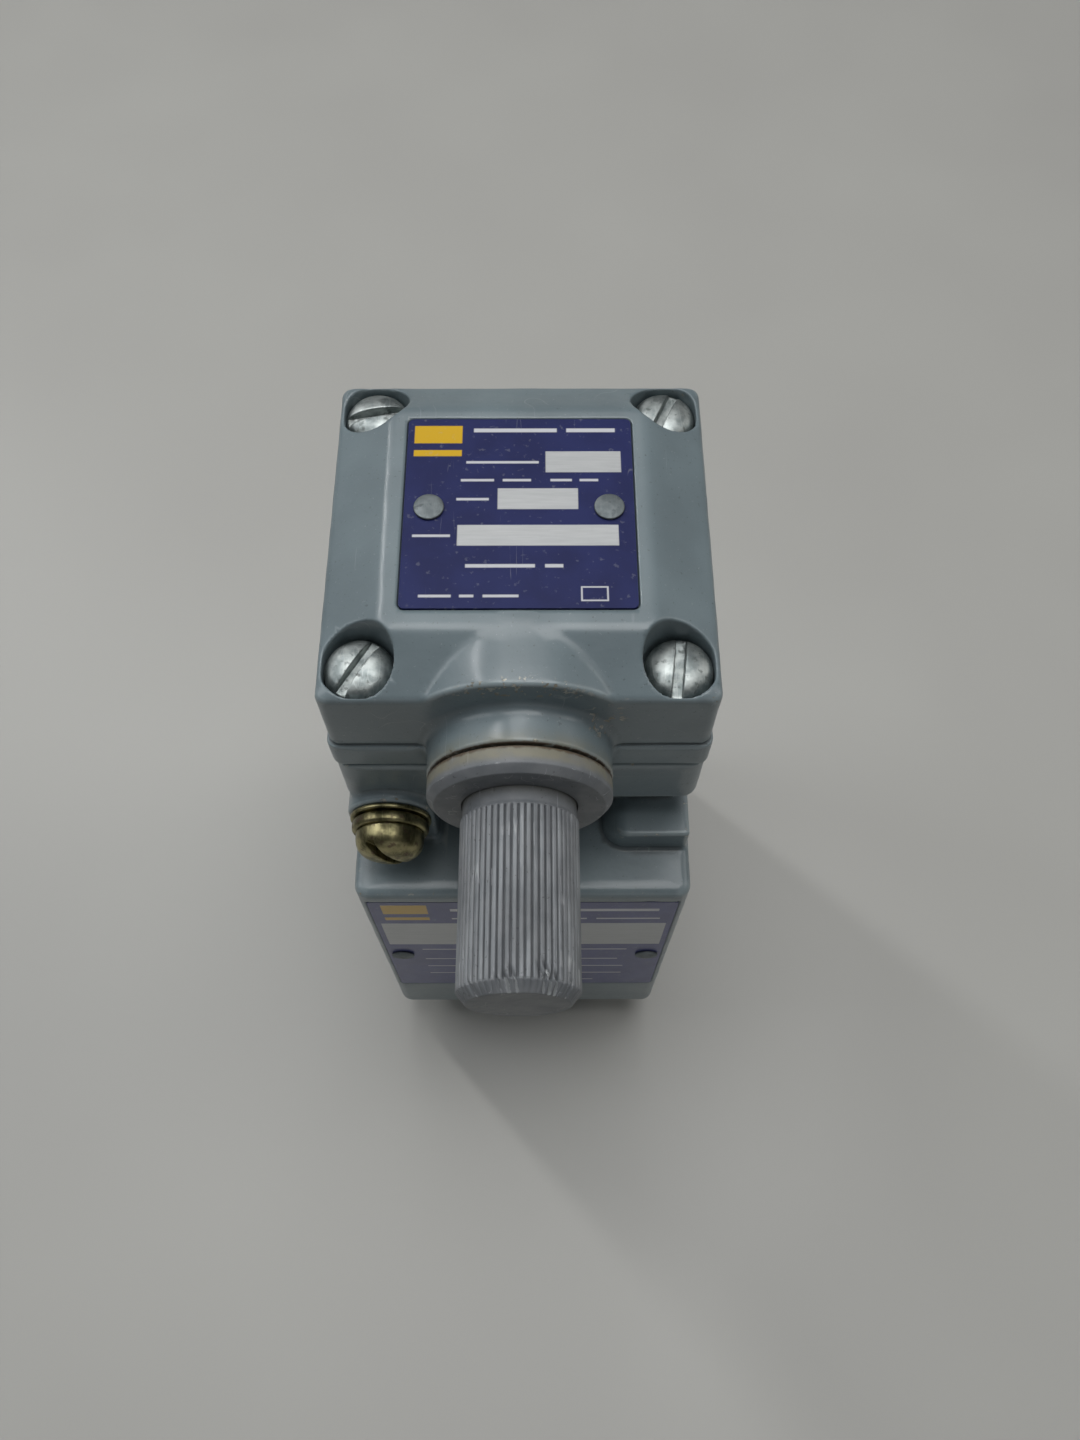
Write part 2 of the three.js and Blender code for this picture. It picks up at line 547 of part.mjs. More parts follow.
function contacts() {
  const { half, depth, top, bottom } = CARRIER;
  const rod = cylinderZ(0, MECH_Y, 2, top - 0.5, PLUNGER_BOTTOM - GAP, 24);
  const bar = box(-half, half, MECH_Y - 1, MECH_Y + depth, bottom, top);
  const carrier = rod.add(bar).subtract(box(-half - 1, half + 1, MECH_Y - 2, MECH_Y + depth - 1.3, 41.4, 42.6));
  addMesh('contact_plunger', carrier, 'nylon');
  addMesh('contact_bridge', box(-6.6, 6.6, MECH_Y - 3.5, MECH_Y + depth - 1.5, 41.5, 42.5), 'brass');
  const { radius, wire, turns } = CONTACT_SPRING;
  const spring = helixZ(0, MECH_Y + 0.4, radius, wire, SLOT.bottom + FIT, bottom - FIT, turns);
  addMesh('contact_spring', spring, 'steel');
  BLADE_PLACES.forEach(([x, z], i) => {
    addMesh(`plug_blade_${i + 1}`, bladeBox(x, z, 0), 'brass');
  });
}

// ---- captive screw and its washers ----
function captiveScrew() {
  const { headR, headH, lockR, flatR, bore } = CAPTIVE;
  const seat = LOCK_WASHER.front - 0.05;
  const profile = [[0, seat], [headR, seat], [headR, seat - headH * 0.55]];
  for (let i = 1; i <= 5; i++) {
    const a = (i / 5) * Math.PI / 2;
    profile.push([i === 5 ? 0 : headR * Math.cos(a), seat - headH * (0.55 + 0.45 * Math.sin(a))]);
  }
  const slot = new THREE.BoxGeometry(headR * 2.4, 2.7, 1.1);
  slot.rotateY(CAPTIVE.turn);
  slot.translate(EAR_X, seat - headH, EAR_Z);
  const shank = cylinderY(EAR_X, EAR_Z, SCREW_R, seat - 0.5, RECEPTACLE_FRONT + 6.5, 24);
  const head = turnedY(profile.reverse(), EAR_X, EAR_Z, 28);
  addMesh('captive_screw', head.add(shank).subtract(solid(slot)), 'yellow_zinc');
  addMesh('lock_washer', ringY(EAR_X, EAR_Z, lockR, bore, LOCK_WASHER.front, LOCK_WASHER.back), 'yellow_zinc');
  addMesh('flat_washer', ringY(EAR_X, EAR_Z, flatR, bore, FLAT_WASHER.front, FLAT_WASHER.back), 'yellow_zinc');
}

// ---- wiring receptacle ----
function bodyGasket() {
  const { half, bottom, top, width } = BODY_GASKET;
  const outer = box(-half, half, BODY_REAR + FIT, RECEPTACLE_FRONT - FIT, bottom, top);
  const inner = box(
    -half + width, half - width, BODY_REAR - 1, RECEPTACLE_FRONT + 1, bottom + width + FIT, top - width / 2 + FIT);
  addMesh('body_gasket', outer.subtract(inner), 'rubber');
}

function receptacle() {
  const shell = facing(roundedShape(-HALF, HALF, 0, RECEPTACLE_TOP, 1.6), RECEPTACLE_FRONT, BACK);
  const hub = box(-FOOT_HALF, FOOT_HALF, BODY_STEP_Y + GAP, RECEPTACLE_FRONT + 1, 0, HUB_TOP);
  const foot = upright(roundedShape(-FOOT_HALF, FOOT_HALF, FOOT_FRONT, RECEPTACLE_FRONT + 3, 2.5), 0, FOOT_TOP);
  const lip = box(-LIP.half, LIP.half, LIP.front, LIP.back, FOOT_TOP - 1, LIP.top);
  const c = CHAMBER;
  const m = MOUNT_HOLE;
  let base = shell.add(hub).add(foot).add(lip)
    .subtract(box(-c.half, c.half, RECEPTACLE_FRONT - 1, c.back, HUB_TOP + GAP, c.top))
    .subtract(box(-c.half, c.half, RECEPTACLE_FRONT, c.back, c.bottom, HUB_TOP + 1))
    .subtract(cylinderZ(0, CONDUIT.y, CONDUIT.r, -1, CONDUIT.top))
    .subtract(cylinderY(EAR_X, EAR_Z, SCREW_R + 0.15, RECEPTACLE_FRONT - 1, RECEPTACLE_FRONT + 8, 24))
    .subtract(cylinderY(GROUND.x, GROUND.z, GROUND.hole, c.back - 1, c.back + 2.4, 16));
  for (const side of [-1, 1]) {
    base = base
      .subtract(cylinderY(side * m.x, m.high, m.r, c.back - 1, BACK + 1, 24))
      .subtract(cylinderY(side * m.x, m.low, 2.1, BACK - m.depth, BACK + 1, 24));
  }
  addMesh('receptacle', base, 'paint');
}

function terminalBlock() {
  const t = TERMINALS;
  let block = box(-t.half, t.half, t.front, t.back, t.bottom, t.top);
  for (const [x, z] of BLADE_PLACES) {
    block = block.subtract(box(x - 2, x + 2, t.front - 1, BLADE.back + 1, z - 0.8, z + 0.8));
  }
  for (const [x, z] of terminalPlaces()) {
    block = block
      .subtract(box(x - 3.3, x + 3.3, t.front - 1, t.front + 4, z - 4.2, z + 4.2))
      .subtract(cylinderY(x, z, 1.5, t.front, t.front + 10, 16));
  }
  addMesh('terminal_block', block, 'phenolic');
}

function terminalPlaces() {
  return BLADE_PLACES.map(([x, z]) => [Math.sign(x) * TERMINAL_SCREW_X, z]);
}

function panScrewY(x, z, seat, headR, headH, end) {
  const head = turnedY([
    [0, seat - headH],
    [headR * 0.75, seat - headH],
    [headR, seat - headH * 0.6],
    [headR, seat],
    [0, seat],
  ], x, z, 24);
  const shank = cylinderY(x, z, 1.35, seat - 0.3, end, 16);
  return head.add(shank).subtract(box(x - headR - 1, x + headR + 1, seat - headH - 1, seat - headH + 0.8, z - 0.4, z + 0.4));
}

function receptacleScrews() {
  terminalPlaces().forEach(([x, z], i) => {
    const seat = TERMINALS.front + 3.9;
    addMesh(`terminal_screw_${i + 1}`, panScrewY(x, z, seat, 2.7, 2, TERMINALS.front + 9.5), 'brass');
  });
  const g = GROUND;
  addMesh('ground_screw', panScrewY(g.x, g.z, CHAMBER.back - FIT, g.headR, g.headH, CHAMBER.back + 2), 'green');
}

headHousing();
headPlate();
headScrews();
operatingShaft();
operatingCam();
headPlunger();
headGasket();
switchBody();
bodyPlate();
contactBlock();
contacts();
captiveScrew();
bodyGasket();
receptacle();
terminalBlock();
receptacleScrews();

export default group;
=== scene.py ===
"""Limit switch with a knurled operating shaft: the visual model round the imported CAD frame.

Sizes are in millimetres and are turned into metres where a mesh is made. The castings and screws
are signed distance fields, so that their corners carry real cast fillets, and they are meshed with
the OpenVDB module that comes with Blender.
"""

import math

import bpy
import numpy as np
import openvdb
from mathutils import Matrix, Vector


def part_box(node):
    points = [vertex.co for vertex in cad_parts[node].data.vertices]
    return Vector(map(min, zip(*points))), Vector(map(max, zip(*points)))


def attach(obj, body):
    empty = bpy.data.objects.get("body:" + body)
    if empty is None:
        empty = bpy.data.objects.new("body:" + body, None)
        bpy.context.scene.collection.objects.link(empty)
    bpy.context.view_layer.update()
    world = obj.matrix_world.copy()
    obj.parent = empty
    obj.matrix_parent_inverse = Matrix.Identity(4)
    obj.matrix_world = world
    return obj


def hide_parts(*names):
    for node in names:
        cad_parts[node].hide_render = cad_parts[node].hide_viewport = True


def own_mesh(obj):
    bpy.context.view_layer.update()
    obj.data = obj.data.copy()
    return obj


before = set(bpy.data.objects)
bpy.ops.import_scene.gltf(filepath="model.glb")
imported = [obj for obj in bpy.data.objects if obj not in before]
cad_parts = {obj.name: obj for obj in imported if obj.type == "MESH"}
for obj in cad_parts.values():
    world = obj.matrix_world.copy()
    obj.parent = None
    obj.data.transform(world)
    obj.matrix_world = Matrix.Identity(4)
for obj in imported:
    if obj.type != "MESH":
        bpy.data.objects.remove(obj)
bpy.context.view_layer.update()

MM = 0.001


# ---- places from the frame

def box_mm(node):
    low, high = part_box(node)
    return np.array(low) / MM, np.array(high) / MM


head_low, head_high = box_mm("head_housing")
body_low, body_high = box_mm("switch_body")
_, base_high = box_mm("receptacle")
collar_low, collar_high = box_mm("shaft_collar")
shaft_low, shaft_high = box_mm("operating_shaft")
head_plate_low, head_plate_high = box_mm("head_nameplate")
body_plate_low, body_plate_high = box_mm("body_nameplate")
lock_low, lock_high = box_mm("lock_washer")

Y, Z = 1, 2                    # axis numbers
SIDES = ("left", "right")
BEYOND = 9                     # how far a shape runs on where another one ends it
CAST_WAVE = 0.05               # height of the castings' unevenness

# Head. FRONT is its front face, and depths in all the castings are counted from there.
HALF = head_high[0]
AXIS_Z = (collar_low[2] + collar_high[2]) / 2
SHAFT_AXIS = (0, AXIS_Z)
BOSS_FRONT = head_low[1]
FRONT = BOSS_FRONT + 3.7
BOSS_BACK = FRONT - 0.3
HEAD_BACK = head_high[1]
HEAD_CENTRE_Y = (FRONT + HEAD_BACK) / 2
NECK_TOP = body_high[2]
HEAD_BOTTOM = NECK_TOP + 0.3
STEP_Z = HEAD_BOTTOM + 4.4     # top of the skirt
STEP_IN = 0.3
EDGE_Z = HEAD_BOTTOM + 14.1    # where the sides turn into the hipped top
PLATEAU_Z = head_plate_high[2]
PLATEAU_HALF = 13.5
GROOVE_RISE, GROOVE_HALF, GROOVE_DEPTH = 0.1, 0.11, 0.12
BOSS_R = 9.6
BARREL_R = 13.8
BEARING_R = 8.2
BEARING_BACK = FRONT + 9.5
BORE_R = 6.5
REAR_BORE_R = 3.1
HEAD_ROOM = ((-10.5, 10.5), (FRONT + 9.8, FRONT + 33), (70, 96.5))
SCREW_SPACING = 31.5
SCREW_SEAT_Z = 95.6
SCREW_HOLE_R = 2.0
SCREW_THREAD_R = 1.9
SCREW_HOLE_END = 75.6
COUNTERBORE_R = 3.75
THIN_WALL = 0.62               # left between a counterbore and the head's side

# Body. Spaces are given by their ends across, from front to back, and up.
BODY_FRONT = body_low[1]
BODY_BOTTOM = body_low[2]
BODY_STEP = (FRONT + 11.7, 15.5)     # the depth and height of the notch at its lower back
BODY_REAR = FRONT + 23.4
UPPER_FRONT = FRONT + 2.5
SHOULDER_Z = 65.1
NECK_BOTTOM = 74.5
COLUMN_IN = 2
EAR = (-15.2, 71.7)
EAR_R = 5.0
EAR_FRONT = FRONT - 1.2
EAR_HOLE_R = 2.1
PAD_FRONT = FRONT - 2.65
PAD_LEFT, PAD_RIGHT = 9.6, HALF - 0.4
PAD_Z = 69.5
PAD_SHOULDER_X = 11.6
PAD_SHOULDER_RUN, PAD_SHOULDER_RISE = 2.0, 3.4
PLUNGER_AXIS = (0, FRONT + 18)
PASSAGE_R = 6                  # round the return spring
GUIDE_R = 2.6                  # round the contact plunger
BODY_ROOM_FRONT = ((-16.5, 16.5), (FRONT - 6, FRONT + 10.7), (13, 62))
BODY_ROOM_REAR = ((-16.5, 16.5), (FRONT + 9.7, BODY_REAR + 2), (18, 62))
NECK_ROOM = ((-10, 10), (FRONT + 12.8, FRONT + 31), (78, NECK_TOP + 2))
GASKET_OUTER = ((-12.9, 12.9), (FRONT + 10.3, FRONT + 33.5), (NECK_TOP - 0.8, NECK_TOP + 1))
GASKET_INNER = ((-10.7, 10.7), (FRONT + 12.3, FRONT + 31.5), (NECK_TOP - 2, NECK_TOP + 2))
LIP_SLOT = ((-8.3, 8.3), (FRONT - 4.3, FRONT - 1.7), (BODY_BOTTOM - 1, 11.3))

# Receptacle
RECEPTACLE_FRONT = FRONT + 24.4
BACK = base_high[1]
FOOT_HALF = 16.2
HUB = ((-FOOT_HALF, FOOT_HALF), (FRONT + 12, RECEPTACLE_FRONT + 3), (0, 15))
FOOT = ((-FOOT_HALF, FOOT_HALF), (FRONT - 5, RECEPTACLE_FRONT + 5), (0, 8.95))
LIP = ((-8, 8), (FRONT - 4, FRONT - 2), (6, 11))
CHAMBER_BACK = FRONT + 38
CHAMBER = ((-16.7, 16.7), (RECEPTACLE_FRONT - 3, CHAMBER_BACK), (15.3, 68.5))
WIRE_WAY = ((-16.7, 16.7), (RECEPTACLE_FRONT, CHAMBER_BACK), (12, 18))
CONDUIT = (0, FRONT + 27)
CONDUIT_R = 9.4
CONDUIT_TOP = 13
CAPTIVE_THREAD_R = 1.9
GROUND_PLACE = (-12, 18.5)
GROUND_HOLE_R = 1.7
MOUNT_X, MOUNT_LOW_Z, MOUNT_HIGH_Z = 14.7, 6.8, 66.3
MOUNT_LOW_R, MOUNT_HIGH_R = 2.1, 2.6


# ---- signed distance fields

class Field:
    """A regular grid of points, in millimetres, on which distances are worked out."""

    def __init__(self, low, high, step):
        self.low = np.array(low, np.float32)
        self.step = step
        axes = [np.arange(a, b + step, step, dtype=np.float32) for a, b in zip(low, high)]
        self.x, self.y, self.z = np.meshgrid(*axes, indexing="ij", sparse=True)
        self.axes = (self.x, self.y, self.z)

    def sample(self, values, points):
        """Values at any points, by straight-line interpolation."""
        place = (points - self.low) / self.step
        cell = np.clip(np.floor(place).astype(int), 0, np.array(values.shape) - 2)
        part = np.clip(place - cell, 0, 1)
        total = np.zeros(len(points))
        for corner in np.ndindex(2, 2, 2):
            weight = np.prod(np.where(corner, part, 1 - part), axis=1)
            i, j, k = (cell + corner).T
            total += weight * values[i, j, k]
        return total


def rounded(flat, tall, edge):
    """Two distances that meet at a right angle, with a round of radius edge between them."""
    a = flat + edge
    b = tall + edge
    return np.hypot(np.maximum(a, 0), np.maximum(b, 0)) + np.minimum(np.maximum(a, b), 0) - edge


def between(values, ends):
    return np.abs(values - (ends[0] + ends[1]) / 2) - (ends[1] - ends[0]) / 2


def block(f, x, y, z, corner=0.0, edge=0.0, axis=2):
    """A bar along axis with rounded corners in its section and rounded edges at its two ends."""
    slabs = [between(v, ends) for v, ends in zip(f.axes, (x, y, z))]
    tall = slabs.pop(axis)
    return rounded(rounded(slabs[0], slabs[1], corner), tall, edge)


def rod(f, axis, centre, radius, ends, edge=0.0):
    across = [v for i, v in enumerate(f.axes) if i != axis]
    flat = np.hypot(across[0] - centre[0], across[1] - centre[1]) - radius
    return rounded(flat, between(f.axes[axis], ends), edge)


def join(a, b, fillet=0.0):
    if fillet <= 0:
        return np.minimum(a, b)
    mix = np.maximum(fillet - np.abs(a - b), 0) / fillet
    return np.minimum(a, b) - mix * mix * fillet / 4


def cut(a, b, fillet=0.0):
    return -join(-a, b, fillet)


def common(a, b, fillet=0.0):
    return -join(-a, -b, fillet)


def waviness(f):
    """The slow unevenness of a sand-cast skin under its paint."""
    wave = np.sin(f.x * 0.83 + 1.1) * np.sin(f.y * 0.71 + 0.4) + np.sin(f.z * 0.94 + f.x * 0.37)
    return (wave + np.sin(f.y * 1.31 - f.z * 0.57) + 3) * CAST_WAVE / 6


def surface_points(f, distance):
    """Vertices on the zero surface, and faces that wind outwards."""
    band = 3 * f.step
    grid = openvdb.FloatGrid(band)
    grid.copyFromArray(np.ascontiguousarray(np.clip(distance, -band, band)))
    points, triangles, quads = grid.convertToPolygons(isovalue=0.0, adaptivity=0.02)
    faces = triangles.tolist() + quads.tolist()
    return points * f.step + f.low, faces


NORMAL_REACH = 0.6   # in grid steps, as the next one
# reach and gain of the bend that drives edge wear with painted highlight, and painted shade in concave
# corners
WEAR_AND_SHADE_REACH = 1.3
WEAR_AND_SHADE_GAIN = 1.85


def slopes(f, distance, points, reach):
    """Unit normals, and how strongly the surface bends: above 0 on edges, below 0 in creases."""
    centre = f.sample(distance, points)
    gradient = np.zeros_like(points)
    bend = -6 * centre
    for i in range(3):
        shift = np.zeros(3)
        shift[i] = reach
        ahead = f.sample(distance, points + shift)
        behind = f.sample(distance, points - shift)
        bend += ahead + behind
        gradient[:, i] = ahead - behind
    gradient /= np.maximum(np.linalg.norm(gradient, axis=1, keepdims=True), 1e-9)
    return gradient, bend / reach * WEAR_AND_SHADE_GAIN


# ---- pieces

def add_mask(mesh, name, values):
    layer = mesh.attributes.new(name, "FLOAT", "POINT")
    layer.data.foreach_set("value", np.asarray(values, np.float32))


def place_piece(name, mesh, body, material, node):
    piece = bpy.data.objects.new(name, mesh)
    bpy.context.collection.objects.link(piece)
    mesh.materials.append(material)
    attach(piece, body)
    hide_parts(node)
    return piece


def field_piece(name, f, distance, material, node, stain=None, specks=None, wear_and_shade_shape=None):
    """A fixed piece on the zero surface of distance. The shape passed last is the one whose edges show
    wear and a painted highlight, and whose concave corners take painted shade.
    """
    points, faces = surface_points(f, distance)
    points = points.astype(float)
    normals, _ = slopes(f, distance, points, f.step * NORMAL_REACH)
    points -= normals * f.sample(distance, points)[:, None]
    normals, _ = slopes(f, distance, points, f.step * NORMAL_REACH)
    _, bend = slopes(f, distance if wear_and_shade_shape is None else wear_and_shade_shape, points, f.step * WEAR_AND_SHADE_REACH)
    mesh = bpy.data.meshes.new(name)
    mesh.from_pydata(points * MM, [], faces)
    mesh.shade_smooth()
    mesh.normals_split_custom_set_from_vertices(normals)
    # convex edges: paint wear together with a painted highlight
    add_mask(mesh, "edge", np.clip(bend, 0, 1.5))
    # concave corners, where the paint is darkened with painted shade
    add_mask(mesh, "crease_shade", np.clip(-bend, 0, 1.5))
    add_mask(mesh, "stain", stain(points) if stain else np.zeros(len(points)))
    add_mask(mesh, "specks", specks(points) if specks else np.zeros(len(points)))
    place_piece(name, mesh, "base", material, node)


def soften(profile, radius, steps=4):
    """A profile of (radius, place) points with each inner corner turned into a small round."""
    points = [np.array(p, float) for p in profile]
    result = [points[0]]
    for before, corner, after in zip(points, points[1:], points[2:]):
        back, ahead = before - corner, after - corner
        reach = min(radius, np.linalg.norm(back) * 0.45, np.linalg.norm(ahead) * 0.45)
        start = corner + back / np.linalg.norm(back) * reach
        end = corner + ahead / np.linalg.norm(ahead) * reach
        for i in range(steps + 1):
            t = i / steps
            result.append((1 - t) ** 2 * start + 2 * t * (1 - t) * corner + t * t * end)
    result.append(points[-1])
    return np.array(result)


def turned_piece(name, profile, centre, segments, body, material, node, shape=None, stain=None):
    """A turned piece along Y. profile runs from axis to axis, or closes on itself for a ring."""
    rings = np.asarray(profile, float)
    hollow = rings[0, 0] > 1e-6
    if hollow:
        rings = rings[:-1]
    turn = np.arange(segments) / segments * 2 * math.pi
    inner = rings if hollow else rings[1:-1]
    radius = np.repeat(inner[:, :1], segments, axis=1)
    along = np.repeat(inner[:, 1:], segments, axis=1)
    if shape:
        radius, along = shape(radius, along, turn[None, :])
    across = centre[0] + radius * np.cos(turn)
    up = centre[1] + radius * np.sin(turn)
    points = np.stack([across, along, up], axis=-1).reshape(-1, 3)
    rows = len(inner)
    faces = []
    for i in range(rows if hollow else rows - 1):
        j = (i + 1) % rows
        for k in range(segments):
            n = (k + 1) % segments
            faces.append([i * segments + k, i * segments + n, j * segments + n, j * segments + k])
    if not hollow:
        first, last = len(points), len(points) + 1
        ends = [[centre[0], rings[0, 1], centre[1]], [centre[0], rings[-1, 1], centre[1]]]
        points = np.vstack([points, ends])
        for k in range(segments):
            n = (k + 1) % segments
            faces.append([first, n, k])
            faces.append([last, (rows - 1) * segments + k, (rows - 1) * segments + n])
    mesh = bpy.data.meshes.new(name)
    mesh.from_pydata(points * MM, [], faces)
    mesh.validate()
    outward_faces(mesh)
    mesh.shade_smooth()
    add_mask(mesh, "stain", stain(points) if stain else np.zeros(len(points)))
    return place_piece(name, mesh, body, material, node)


def outward_faces(mesh):
    """Flips the whole mesh if its enclosed volume comes out negative."""
    mesh.calc_loop_triangles()
    corners = np.array([[mesh.vertices[v].co[:] for v in t.vertices] for t in mesh.loop_triangles])
    volume = np.einsum("ij,ij->i", corners[:, 0], np.cross(corners[:, 1], corners[:, 2])).sum()
    if volume < 0:
        mesh.flip_normals()


# ---- node materials

class Surface:
    """A Principled material whose patterns are given in millimetres."""

    def __init__(self, name, metallic=0.0, coat=0.0, coat_roughness=0.1):
        self.material = bpy.data.materials.new(name)
        self.material.use_nodes = True
        self.nodes = self.material.node_tree.nodes
        self.links = self.material.node_tree.links
        self.shader = self.nodes["Principled BSDF"]
        self.shader.inputs["Metallic"].default_value = metallic
        self.shader.inputs["Coat Weight"].default_value = coat
        self.shader.inputs["Coat Roughness"].default_value = coat_roughness
        self.where = self.nodes.new("ShaderNodeTexCoord").outputs["Object"]

    def put(self, socket, value):
        if isinstance(value, bpy.types.NodeSocket):
            self.links.new(value, socket)
        else:
            socket.default_value = value

    def set(self, name, value):
        self.put(self.shader.inputs[name], value)

    def node(self, kind, **values):
        """A new node with its inputs set or linked by name, where _ stands for a space."""
        node = self.nodes.new("ShaderNode" + kind)
        for name, value in values.items():
            self.put(node.inputs[name.replace("_", " ")], value)
        return node

    def math(self, operation, a, b=0.0):
        node = self.node("Math")
        node.operation = operation
        self.put(node.inputs[0], a)
        self.put(node.inputs[1], b)
        return node.outputs[0]

    def times(self, a, b):
        return self.math("MULTIPLY", a, b)

    def noise(self, size, detail=3.0, stretch=(1, 1, 1)):
        """Noise whose lumps are about size millimetres across."""
        scale = [1 / (size * MM * s) for s in stretch]
        mapping = self.node("Mapping", Scale=scale, Vector=self.where)
        node = self.node("TexNoise", Scale=1.0, Detail=detail, Vector=mapping.outputs[0])
        return node.outputs["Fac"]

    def scratches(self, size, turn, thin=0.03):
        """Fine lines, turned about all three axes by turn radians."""
        scale = 1 / (size * MM)
        mapping = self.node(
            "Mapping", Rotation=(turn, turn * 0.7, turn * 1.3), Scale=(scale, scale * 0.06, scale),
            Vector=self.where)
        node = self.node("TexNoise", Scale=1.0, Detail=1.0, Vector=mapping.outputs[0])
        away = self.math("ABSOLUTE", self.math("SUBTRACT", node.outputs["Fac"], 0.5))
        return self.ramp(away, thin, 0.0)

    def ramp(self, value, low, high):
        """0 below low to 1 above high, or the other way round where low is the larger."""
        node = self.node("MapRange", Value=value, From_Min=low, From_Max=high)
        node.interpolation_type = "SMOOTHSTEP" if low < high else "LINEAR"
        return node.outputs["Result"]

    def mask(self, name):
        node = self.nodes.new("ShaderNodeAttribute")
        node.attribute_name = name
        return node.outputs["Fac"]

    def mix(self, share, a, b):
        node = self.nodes.new("ShaderNodeMix")
        node.data_type = "RGBA"
        self.put(node.inputs["Factor"], share)
        self.put(node.inputs["A"], colour(a))
        self.put(node.inputs["B"], colour(b))
        return node.outputs["Result"]

    def blend(self, share, a, b):
        """Between two numbers."""
        return self.math("ADD", a, self.times(share, b - a))

    def axis(self, letter):
        return self.node("SeparateXYZ", Vector=self.where).outputs[letter]

    def bump(self, height, depth, before=None):
        """height from 0 to 1 stands depth millimetres."""
        node = self.node("Bump", Strength=1.0, Distance=depth * MM, Height=height)
        if before is not None:
            self.put(node.inputs["Normal"], before)
        return node.outputs["Normal"]


def colour(value):
    """A hex colour as linear light, or a socket as it is."""
    if not isinstance(value, str):
        return value
    parts = [int(value[i:i + 2], 16) / 255 for i in (0, 2, 4)]
    linear = [p / 12.92 if p <= 0.04045 else ((p + 0.055) / 1.055) ** 2.4 for p in parts]
    return (*linear, 1.0)


def casting_paint():
    """Semi-gloss blue-grey enamel on a zinc casting, worn and lit by a painted highlight on its edges,
    and darkened by painted shade in its concave corners.
    """
    s = Surface("casting_paint", coat=0.4, coat_roughness=0.2)
    drift = s.ramp(s.noise(9.0, 3), 0.3, 0.7)
    base = s.mix(drift, "6b787d", "748287")
    speck = s.ramp(s.noise(0.35, 2), 0.67, 0.73)
    base = s.mix(s.times(speck, 0.55), base, "4e595c")
    dust = s.ramp(s.noise(0.27, 2), 0.69, 0.74)
    base = s.mix(s.times(dust, 0.4), base, "a3aaa9")
    edge = s.mask("edge")
    # Edges are lightened towards 9aa6a9: paint rubbed thin, with a painted highlight laid along them as
    # well.
    rub = s.ramp(s.math("ADD", edge, s.times(s.noise(1.6, 4), 0.5)), 0.6, 1.3)
    base = s.mix(s.times(rub, 0.5), base, "9aa6a9")
    chip = s.times(s.ramp(s.noise(0.8, 5), 0.655, 0.67), s.ramp(edge, 0.45, 0.7))
    knocked = s.times(s.ramp(s.noise(0.55, 5), 0.575, 0.6), s.ramp(s.mask("specks"), 0.3, 0.7))
    chip = s.math("MAXIMUM", chip, knocked)
    base = s.mix(chip, base, s.mix(s.ramp(s.noise(0.9, 3), 0.4, 0.6), "8d8778", "b9b8b0"))
    # Painted shade: concave corners are darkened towards 3a3d3c, standing in for the shade that falls
    # in them.
    crease_shade = s.ramp(s.math("ADD", s.mask("crease_shade"), s.times(s.noise(2.0, 4), 0.5)), 0.5, 1.2)
    base = s.mix(s.times(crease_shade, 0.55), base, "3a3d3c")
    base = s.mix(s.times(beige_film(s), 0.75), base, "7b7866")
    rust = rust_line(s)
    base = s.mix(rust, base, "4a3826")
    scuff = s.times(s.scratches(5.0, 0.7, 0.005), s.ramp(s.noise(7.0, 2), 0.56, 0.64))
    base = s.mix(s.times(scuff, 0.35), base, "a9b0b0")
    s.set("Base Color", base)
    rough = s.blend(s.noise(3.0, 3), 0.34, 0.5)
    rough = s.math("ADD", rough, s.times(s.math("MAXIMUM", rust, crease_shade), 0.3))
    s.set("Roughness", rough)
    s.set("Metallic", s.times(chip, 0.5))
    peel = s.bump(s.noise(1.3, 2), 0.03)
    grain = s.bump(s.noise(0.28, 2), 0.006, peel)
    s.set("Normal", s.bump(s.math("SUBTRACT", 1.0, chip), 0.05, grain))
    return s.material


def beige_film(s):
    patches = s.blend(s.ramp(s.noise(1.6, 5), 0.3, 0.62), 0.45, 0.9)
    return s.times(s.ramp(s.mask("stain"), 0.02, 0.45), patches)


def rust_line(s):
    broken = s.math("ADD", s.mask("stain"), s.times(s.noise(0.7, 4), 0.35))
    return s.times(s.ramp(broken, 0.88, 1.04), 0.8)


def shaft_coat():
    """Matt grey coat on the steel shaft and collar, with painted shade in the knurl's grooves, a
    painted highlight along its ridges, and rubbed bright at the tip.
    """
    s = Surface("shaft_coat")
    drift = s.ramp(s.noise(2.5, 4), 0.3, 0.7)
    base = s.mix(drift, "676b6f", "76797c")
    # Painted shade: the knurl's grooves are darkened towards 303336.
    base = s.mix(s.times(s.mask("valley_shade"), 0.6), base, "303336")
    # Painted highlight: streaks along the ridge tops are lightened towards a4a9ad.
    crest_highlight = s.times(s.mask("crest_highlight"), s.ramp(s.noise(1.2, 5, stretch=(1, 7, 1)), 0.42, 0.7))
    base = s.mix(s.times(crest_highlight, 0.5), base, "a4a9ad")
    pits = s.ramp(s.noise(0.45, 3), 0.66, 0.72)
    base = s.mix(s.times(pits, 0.5), base, "2f3133")
    base = s.mix(beige_film(s), base, "827f6e")
    rust = rust_line(s)
    base = s.mix(rust, base, "4a3826")
    wear = s.ramp(s.math("ADD", s.mask("wear"), s.times(s.noise(0.6, 4), 0.7)), 0.8, 1.02)
    base = s.mix(s.times(wear, 0.9), base, "c4c8ca")
    nick = s.times(s.scratches(1.8, 1.2, 0.012), s.ramp(s.noise(3.0, 2), 0.54, 0.62))
    base = s.mix(s.times(nick, 0.5), base, "b9bcbe")
    s.set("Base Color", base)
    s.set("Metallic", s.times(wear, 0.7))
    rough = s.blend(s.noise(1.2, 3), 0.4, 0.6)
    s.set("Roughness", s.math("SUBTRACT", rough, s.times(wear, 0.15)))
    fine = s.bump(s.noise(0.22, 3), 0.012)
    s.set("Normal", s.bump(s.noise(1.0, 3), 0.02, fine))
    return s.material


